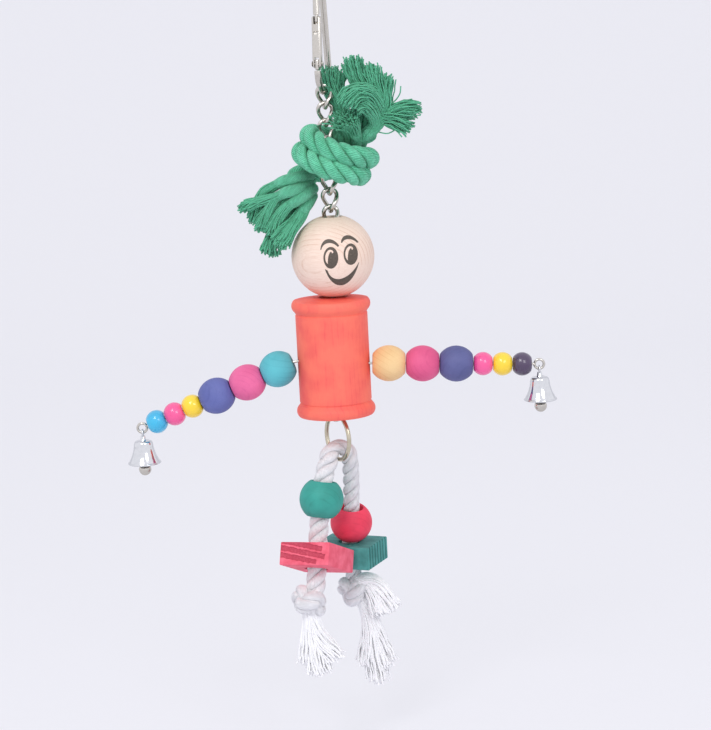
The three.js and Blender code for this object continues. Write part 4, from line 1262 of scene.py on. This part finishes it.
def bead_profile(diameter, length, end):
    """A barrel bead's side arc, its flat ends and its hole."""
    half = length / 2
    centre = ((end / 2) ** 2 + half ** 2 - (diameter / 2) ** 2) / (end - diameter)
    radius = diameter / 2 - centre
    rim = math.degrees(math.asin((half - BEAD_EASE_DOWN) / radius))
    side = arc((centre, 0), radius, -rim, rim, 28)
    flat = end / 2 - BEAD_EASE
    bore = BEAD_BORE / 2
    mouth = [(bore, half - BEAD_CHAMFER), (bore + BEAD_CHAMFER, half), (flat, half)]
    return [*((x, -z) for x, z in mouth), *side, *reversed(mouth)]


for side, dyes in BEAD_ROWS.items():
    for count, dye in enumerate(dyes, 1):
        spin = joints[f"{side}_bead_{count}_spin"]
        profile = bead_profile(*(BIG_BEAD if count <= BIG_BEADS else SMALL_BEAD))
        grain_turn = Matrix.Rotation(count * BEAD_TURN, 4, "Z")
        place = on_axis(joint_at(spin["name"]), spin["axis"]) @ grain_turn
        piece(
            f"{side}_bead_{count}_turned", turned(profile), bead_dyes[f"bead_{dye}"], spin["child"],
            (f"{side}_bead_{count}",), place, crease=50,
        )

# %% [markdown]
# ## Bells
# Each hand holds a little bell of thin sheet with a rolled lip. A ball on a wire hangs inside as its
# clapper, a little below the mouth. The profile goes up the outside and down the inside, so the wall
# has its thickness.

# %% Stamp the bells
BELL_TOP, BELL_MOUTH, BELL_HEIGHT = 8, 14.6, 10.4
BELL_WALL, BELL_ROOF = 0.6, 0.9
BELL_STEP = 0.3
LIP, LIP_IN, LIP_UP, LIP_TURN = 0.45, 0.25, 0.2, 342
BELL_EYE, BELL_EYE_WIRE, BELL_EYE_BELOW = 3.9, 0.9, 0.15
BELL_CROWN_BELOW = 3.65
BELL_NECK = 2.6
CLAPPER, CLAPPER_WIRE, CLAPPER_EYE = 5.6, 0.7, 2.7
CLAPPER_BALL_BELOW, CLAPPER_EYE_BELOW, SHAFT_BELOW = 10.7, 0.7, 1.8
STAPLE_UP = 1.0


def bell_shape():
    """A bell whose eye's hanging point is the origin."""
    top, mouth, neck_side = BELL_TOP / 2, BELL_MOUTH / 2, BELL_NECK / 2
    outside = [
        (mouth, -1), (mouth - 0.1, -0.965), (mouth - 0.75, -0.85), ((top + mouth) / 2 - 0.25, -0.62),
        (top + 0.62, -0.36), (top + 0.3, -0.16), (top, -0.06), (top - 0.5, -0.02), (top - 1.2, 0),
    ]
    outside = spaced([(x, 0, z * BELL_HEIGHT) for x, z in outside], BELL_STEP)[:, [0, 2]]
    inside = [(x - BELL_WALL, min(z, -BELL_ROOF)) for x, z in outside[::-1]]
    shell = turned([(0, -BELL_ROOF), *inside, *outside, (0, 0)], 64, closed=False)
    neck = turned([
        (0, -0.2), (neck_side + 0.5, -0.2), (neck_side, 0.4), (neck_side - 0.3, 2.2), (0, 2.4),
    ], 32, closed=False)
    lip = turned(arc((mouth - LIP_IN, LIP_UP - BELL_HEIGHT), LIP, 0, LIP_TURN, 19), 64)
    lift = Matrix.Translation((0, 0, -BELL_CROWN_BELOW))
    return joined(*(moved(part, lift) for part in (shell, neck, lip)))


def loop_shape(outside, wire_size, middle, plane):
    """A round wire eye; plane XZ faces front, and plane YZ faces sideways."""
    points = arc((0, 0), (outside - wire_size) / 2, 0, 360, 40)[:-1]
    line = [(x, 0, z) if plane == "XZ" else (0, x, z) for x, z in points]
    return wire(np.array(line) + (0, 0, middle), wire_size, 12, closed=True)


for side in ("left", "right"):
    hang = joint_at(f"{side}_bell_swing")
    knock = joint_at(f"{side}_clapper_swing")
    staple = loop_shape(CLAPPER_EYE, CLAPPER_WIRE, knock.z - hang.z + STAPLE_UP, "YZ")
    bell = joined(bell_shape(), loop_shape(BELL_EYE, BELL_EYE_WIRE, -BELL_EYE_BELOW, "YZ"), staple)
    piece(
        f"{side}_bell_stamped", bell, chromed_sheet, f"{side}_bell", (f"{side}_bell",),
        Matrix.Translation(hang), crease=45,
    )
    ball = turned(arc((0, -CLAPPER_BALL_BELOW), CLAPPER / 2, -90, 90, 24), 40, closed=False)
    shaft_line = [(0, 0, z) for z in np.linspace(-SHAFT_BELOW, -CLAPPER_BALL_BELOW, 6)]
    shaft = wire(shaft_line, CLAPPER_WIRE, 12)
    clapper = joined(ball, shaft, loop_shape(CLAPPER_EYE, CLAPPER_WIRE, -CLAPPER_EYE_BELOW, "XZ"))
    piece(
        f"{side}_clapper_ball", clapper, nickel_wire, f"{side}_clapper", (f"{side}_clapper",),
        Matrix.Translation(knock), crease=45,
    )

# %% [markdown]
# ## The ring and the hidden wire
# A welded ring hangs from the wire that runs through head and spool, and the legs hang from the ring.
# The hidden wire and the gate's spring keep the frame's own solids, and only get their finish.

# %% Bend the ring
RING, RING_WIRE, RING_TURN = 22.5, 2, -60

ring_middle = ring_low + np.array((0, 0, (RING - RING_WIRE) / 2))
ring_line = [(x, 0, z) for x, z in arc((0, 0), (RING - RING_WIRE) / 2, 0, 360, 96)[:-1]]
ring_place = Matrix.Translation(ring_middle) @ turning(RING_TURN)
ring = wire(ring_line, RING_WIRE, 18, closed=True)
piece("ring_round", ring, ring_nickel, "ring", ("ring",), ring_place)
for name in ("core_wire", "gate_spring"):
    solid = frame["nodes"][name]
    solid.data.materials.clear()
    solid.data.materials.append(nickel_wire)

# %% [markdown]
# ## Balls and blocks on the legs
# The legs are threaded with a dyed ball and a dyed block each. The blocks are offcuts: they were sawn
# and not sanded on all sides, so some faces keep the marks of the saw.

# %% Turn the balls
ROPE_BORE = 10.6
BALL_EASE = 0.6
BALLS = {"green": (20.0, left_leg, 1), "red": (19.3, right_leg, 2)}

ball_dyes = {
    "green": grained_wood("dyed_teal_beech", "#38A698", "#207B6F", line=0.2, cloud=0.5),
    "red": grained_wood("dyed_crimson_beech", "#FF4564", "#D02A46", line=0.2, cloud=0.6),
}
for colour, (diameter, leg, at) in BALLS.items():
    upward = unit(leg[at - 1] - leg[at + 1])
    ball = turned(drilled_ball(diameter, ROPE_BORE, BALL_EASE), 80)
    piece(
        f"{colour}_ball_turned", ball, ball_dyes[colour], f"{colour}_ball",
        (f"{colour}_ball",), on_axis(leg[at], upward), crease=50,
    )

# %% Saw the blocks
BLOCK_HEIGHT = 10.4
BLOCK_TURN = -23
BLOCK_EDGE = 0.5
RED_BLOCK, GREEN_BLOCK = (24, 28), (28, 23)
KERF, KERF_DEPTH, KERF_STEP, KERFS = 2.3, 0.6, 3.1, 7
TEAR_DEPTH, TEAR_SLANT, TEAR_ROUGH, TEAR_STEP = 0.45, 10, 0.22, 0.7
TEAR_SEED = 6
TEARS = [(-13, 8.4, 3.6, 2.3), (-13, 10.2, 0.5, 2.4), (-13, 6.6, -2.6, 2.3)]


def drilled_block(width, depth, cuts):
    """A block with a rope hole, and with other cuts on its sides."""
    box = rounded_box((width, depth, BLOCK_HEIGHT), BLOCK_EDGE)
    return carved(box, rod(ROPE_BORE, 3 * BLOCK_HEIGHT, 48), *cuts)


def saw_kerfs(width):
    """A row of upright hollows for the block's right side."""
    for count in range(KERFS):
        across = (count - (KERFS - 1) / 2) * KERF_STEP
        at = Matrix.Translation((width / 2 + KERF / 2 - KERF_DEPTH, across, 0))
        yield moved(rod(KERF, 3 * BLOCK_HEIGHT, 16), at)


def torn_strips(depth):
    """Slanted strips with ragged edges for the block's front, where the saw tore the wood out."""
    draw = random.Random(TEAR_SEED)
    slant = turning(TEAR_SLANT, "Y")
    floor, outside = TEAR_DEPTH - depth / 2, -depth / 2 - 1
    for left, right, up, height in TEARS:
        rings = []
        for x in np.arange(left, right, TEAR_STEP):
            low, high = (
                up + side * height / 2 + draw.uniform(-TEAR_ROUGH, TEAR_ROUGH) for side in (-1, 1)
            )
            rings.append([(x, outside, low), (x, floor, low), (x, floor, high), (x, outside, high)])
        yield moved(skin(np.array(rings)), slant)


# %% Dye the blocks
TORN_GRAIN, TORN_RELIEF = 0.7, 0.2
SAWN_STREAK = 5
CUT_SHADE = 0.3


def sawn_wood(name, light, dark, soaked_dye_and_shade, axis, face):
    """Dyed wood whose cut floors, just below one face, are darker: dye soaked into torn wood, and
    painted shade.
    """
    material, tree = empty_finish(name)
    where = add_node(tree, "TexCoord")
    place = where.outputs["Object"]
    height = add_node(tree, "SeparateXYZ", {"Vector": place}).outputs[axis]
    facing = add_node(tree, "SeparateXYZ", {"Vector": where.outputs["Normal"]}).outputs[axis]
    level = add_node(tree, "Math", {0: facing}, operation="ABSOLUTE")
    cut = add_node(tree, "MapRange", {
        "Value": height, "From Min": face * MM, "From Max": (face - math.copysign(CUT_SHADE, face)) * MM,
    })
    inside = add_node(tree, "Math", {
        0: height, 1: (face - math.copysign(2 * CUT_SHADE, face)) * MM, 2: CUT_SHADE * MM,
    }, operation="COMPARE")
    torn_ends = add_node(tree, "TexNoise", {
        "Vector": place, "Scale": per_mm(TORN_GRAIN), "Detail": 4.0, "Roughness": 0.7,
    })
    patchy = add_node(tree, "MapRange", {
        "Value": torn_ends.outputs["Fac"], "From Min": 0.35, "From Max": 0.6, "To Min": 0.65,
    })
    # Painted shade and soaked dye: the floors of the cuts take the third, darker colour.
    deep = add_node(tree, "Math", {0: cut, 1: inside}, operation="MULTIPLY")
    floor = add_node(tree, "Math", {0: deep, 1: level}, operation="MULTIPLY")
    share = add_node(tree, "Math", {0: floor, 1: patchy}, operation="MULTIPLY")
    clouds = add_node(tree, "TexNoise", {"Vector": place, "Scale": per_mm(SAWN_STREAK), "Detail": 4.0})
    cloudy = add_node(tree, "MapRange", {
        "Value": clouds.outputs["Fac"], "From Min": 0.35, "From Max": 0.65,
    })
    dye = add_node(tree, "MixRGB", {"Fac": cloudy, "Color1": linear(light), "Color2": linear(dark)})
    colour = add_node(tree, "MixRGB", {"Fac": share, "Color1": dye, "Color2": linear(soaked_dye_and_shade)})
    bump = add_node(tree, "Bump", {
        "Height": torn_ends.outputs["Fac"], "Strength": 0.4, "Distance": TORN_RELIEF * MM,
    })
    close_finish(tree, {"Base Color": colour, "Roughness": 0.7, "IOR": 1.5, "Normal": bump})
    return material


red_block = drilled_block(*RED_BLOCK, torn_strips(RED_BLOCK[1]))
green_block = drilled_block(*GREEN_BLOCK, saw_kerfs(GREEN_BLOCK[0]))
# The third colour of each block darkens the floors of its cuts: soaked dye and painted shade.
sawn_pink = sawn_wood("sawn_pink_beech", "#FA748A", "#E9586F", "#BC3A52", "Y", -RED_BLOCK[1] / 2)
sawn_green = sawn_wood("sawn_green_beech", "#4FA09A", "#3A827D", "#1F5C57", "X", GREEN_BLOCK[0] / 2)
for colour, shape, finish, middle, upward in (
    ("red", red_block, sawn_pink, left_leg[3], unit(left_leg[2] - left_leg[4])),
    ("green", green_block, sawn_green, right_leg[3], (0, 0, 1)),
):
    piece(
        f"{colour}_block_sawn", shape, finish, f"{colour}_block",
        (f"{colour}_block",), on_axis(middle, upward) @ turning(BLOCK_TURN), crease=30,
    )

# %% [markdown]
# ## Floor and light
# The toy hangs in front of a pale, slightly blue paper sweep, one sheet that curves up behind. Two large
# lamps stand left and right above the camera, and a bright room softens their shadows. Seen directly or
# in bright metal the sweep is partly its own pale colour, so that it stays even, and the rest is plain
# paper that takes the toy's shadow. Past the paper's edge the room shows nearly the same colour.

# %% Roll out the paper
FLOOR = -345
SWEEP_FRONT, SWEEP_BACK, SWEEP_TOP = -2500, 1600, 2000
SWEEP_RADIUS = 500
SWEEP_HALF_WIDTH = 2500
PAPER_GLOW = 0.7

sweep_side = [(SWEEP_FRONT, FLOOR), (SWEEP_BACK - SWEEP_RADIUS, FLOOR)]
sweep_side += arc((SWEEP_BACK - SWEEP_RADIUS, FLOOR + SWEEP_RADIUS), SWEEP_RADIUS, -88, 0, 24)
sweep_side += [(SWEEP_BACK, SWEEP_TOP)]
corners = [
    (x * MM, y * MM, z * MM) for y, z in sweep_side for x in (-SWEEP_HALF_WIDTH, SWEEP_HALF_WIDTH)
]
faces = [(i, i + 1, i + 3, i + 2) for i in range(0, len(corners) - 2, 2)]
paper = bpy.data.meshes.new("paper_sweep")
paper.from_pydata(corners, [], faces)
paper.shade_smooth()
sweep = placed("paper_sweep", paper)

material, tree = empty_finish("pale_paper")
rays = add_node(tree, "LightPath")
seen = add_node(tree, "Math", {
    0: rays.outputs["Is Camera Ray"], 1: rays.outputs["Is Glossy Ray"],
}, operation="MAXIMUM")
seen = add_node(tree, "Math", {
    0: seen, 1: rays.outputs["Is Transmission Ray"],
}, operation="MAXIMUM")
share = add_node(tree, "Math", {0: seen, 1: PAPER_GLOW}, operation="MULTIPLY")
matt = add_node(tree, "BsdfDiffuse", {"Color": linear("#EFEFF7")})
own = add_node(tree, "Emission", {"Color": linear("#F1F1F7"), "Strength": 1.0})
both = add_node(tree, "MixShader", {0: share, 1: matt, 2: own})
add_node(tree, "OutputMaterial", {"Surface": both})
paper.materials.append(material)

# %% Set the lights
LAMPS = {
    "key": ((-350, -800, 700), 420, 3.85),
    "fill": ((450, -900, 400), 420, 2.2),
}
LAMP_AIM = (0, 0, -160)
ROOM_LIGHT, ROOM_IN_METAL, ROOM_SEEN = 0.83, 1.15, 0.9

for name, (place, size, watts) in LAMPS.items():
    lamp = bpy.data.lights.new(name, "AREA")
    lamp.size = size * MM
    lamp.energy = watts
    stand = placed(name, lamp)
    stand.location = Vector(place) * MM
    aim = Vector(LAMP_AIM) * MM - stand.location
    stand.rotation_euler = aim.to_track_quat("-Z", "Y").to_euler()
world = bpy.data.worlds.new("room")
world.use_nodes = True
world.node_tree.nodes.clear()
bpy.context.scene.world = world
rays = add_node(world.node_tree, "LightPath")
bright = add_node(world.node_tree, "MapRange", {
    "Value": rays.outputs["Is Glossy Ray"], "To Min": ROOM_LIGHT, "To Max": ROOM_IN_METAL,
})
behind = add_node(world.node_tree, "MapRange", {
    "Value": rays.outputs["Is Camera Ray"], "To Min": bright, "To Max": ROOM_SEEN,
})
room = add_node(world.node_tree, "Background", {"Color": linear("#F4F4FA"), "Strength": behind})
add_node(world.node_tree, "OutputWorld", {"Surface": room})
bpy.context.scene.view_settings.view_transform = "Standard"
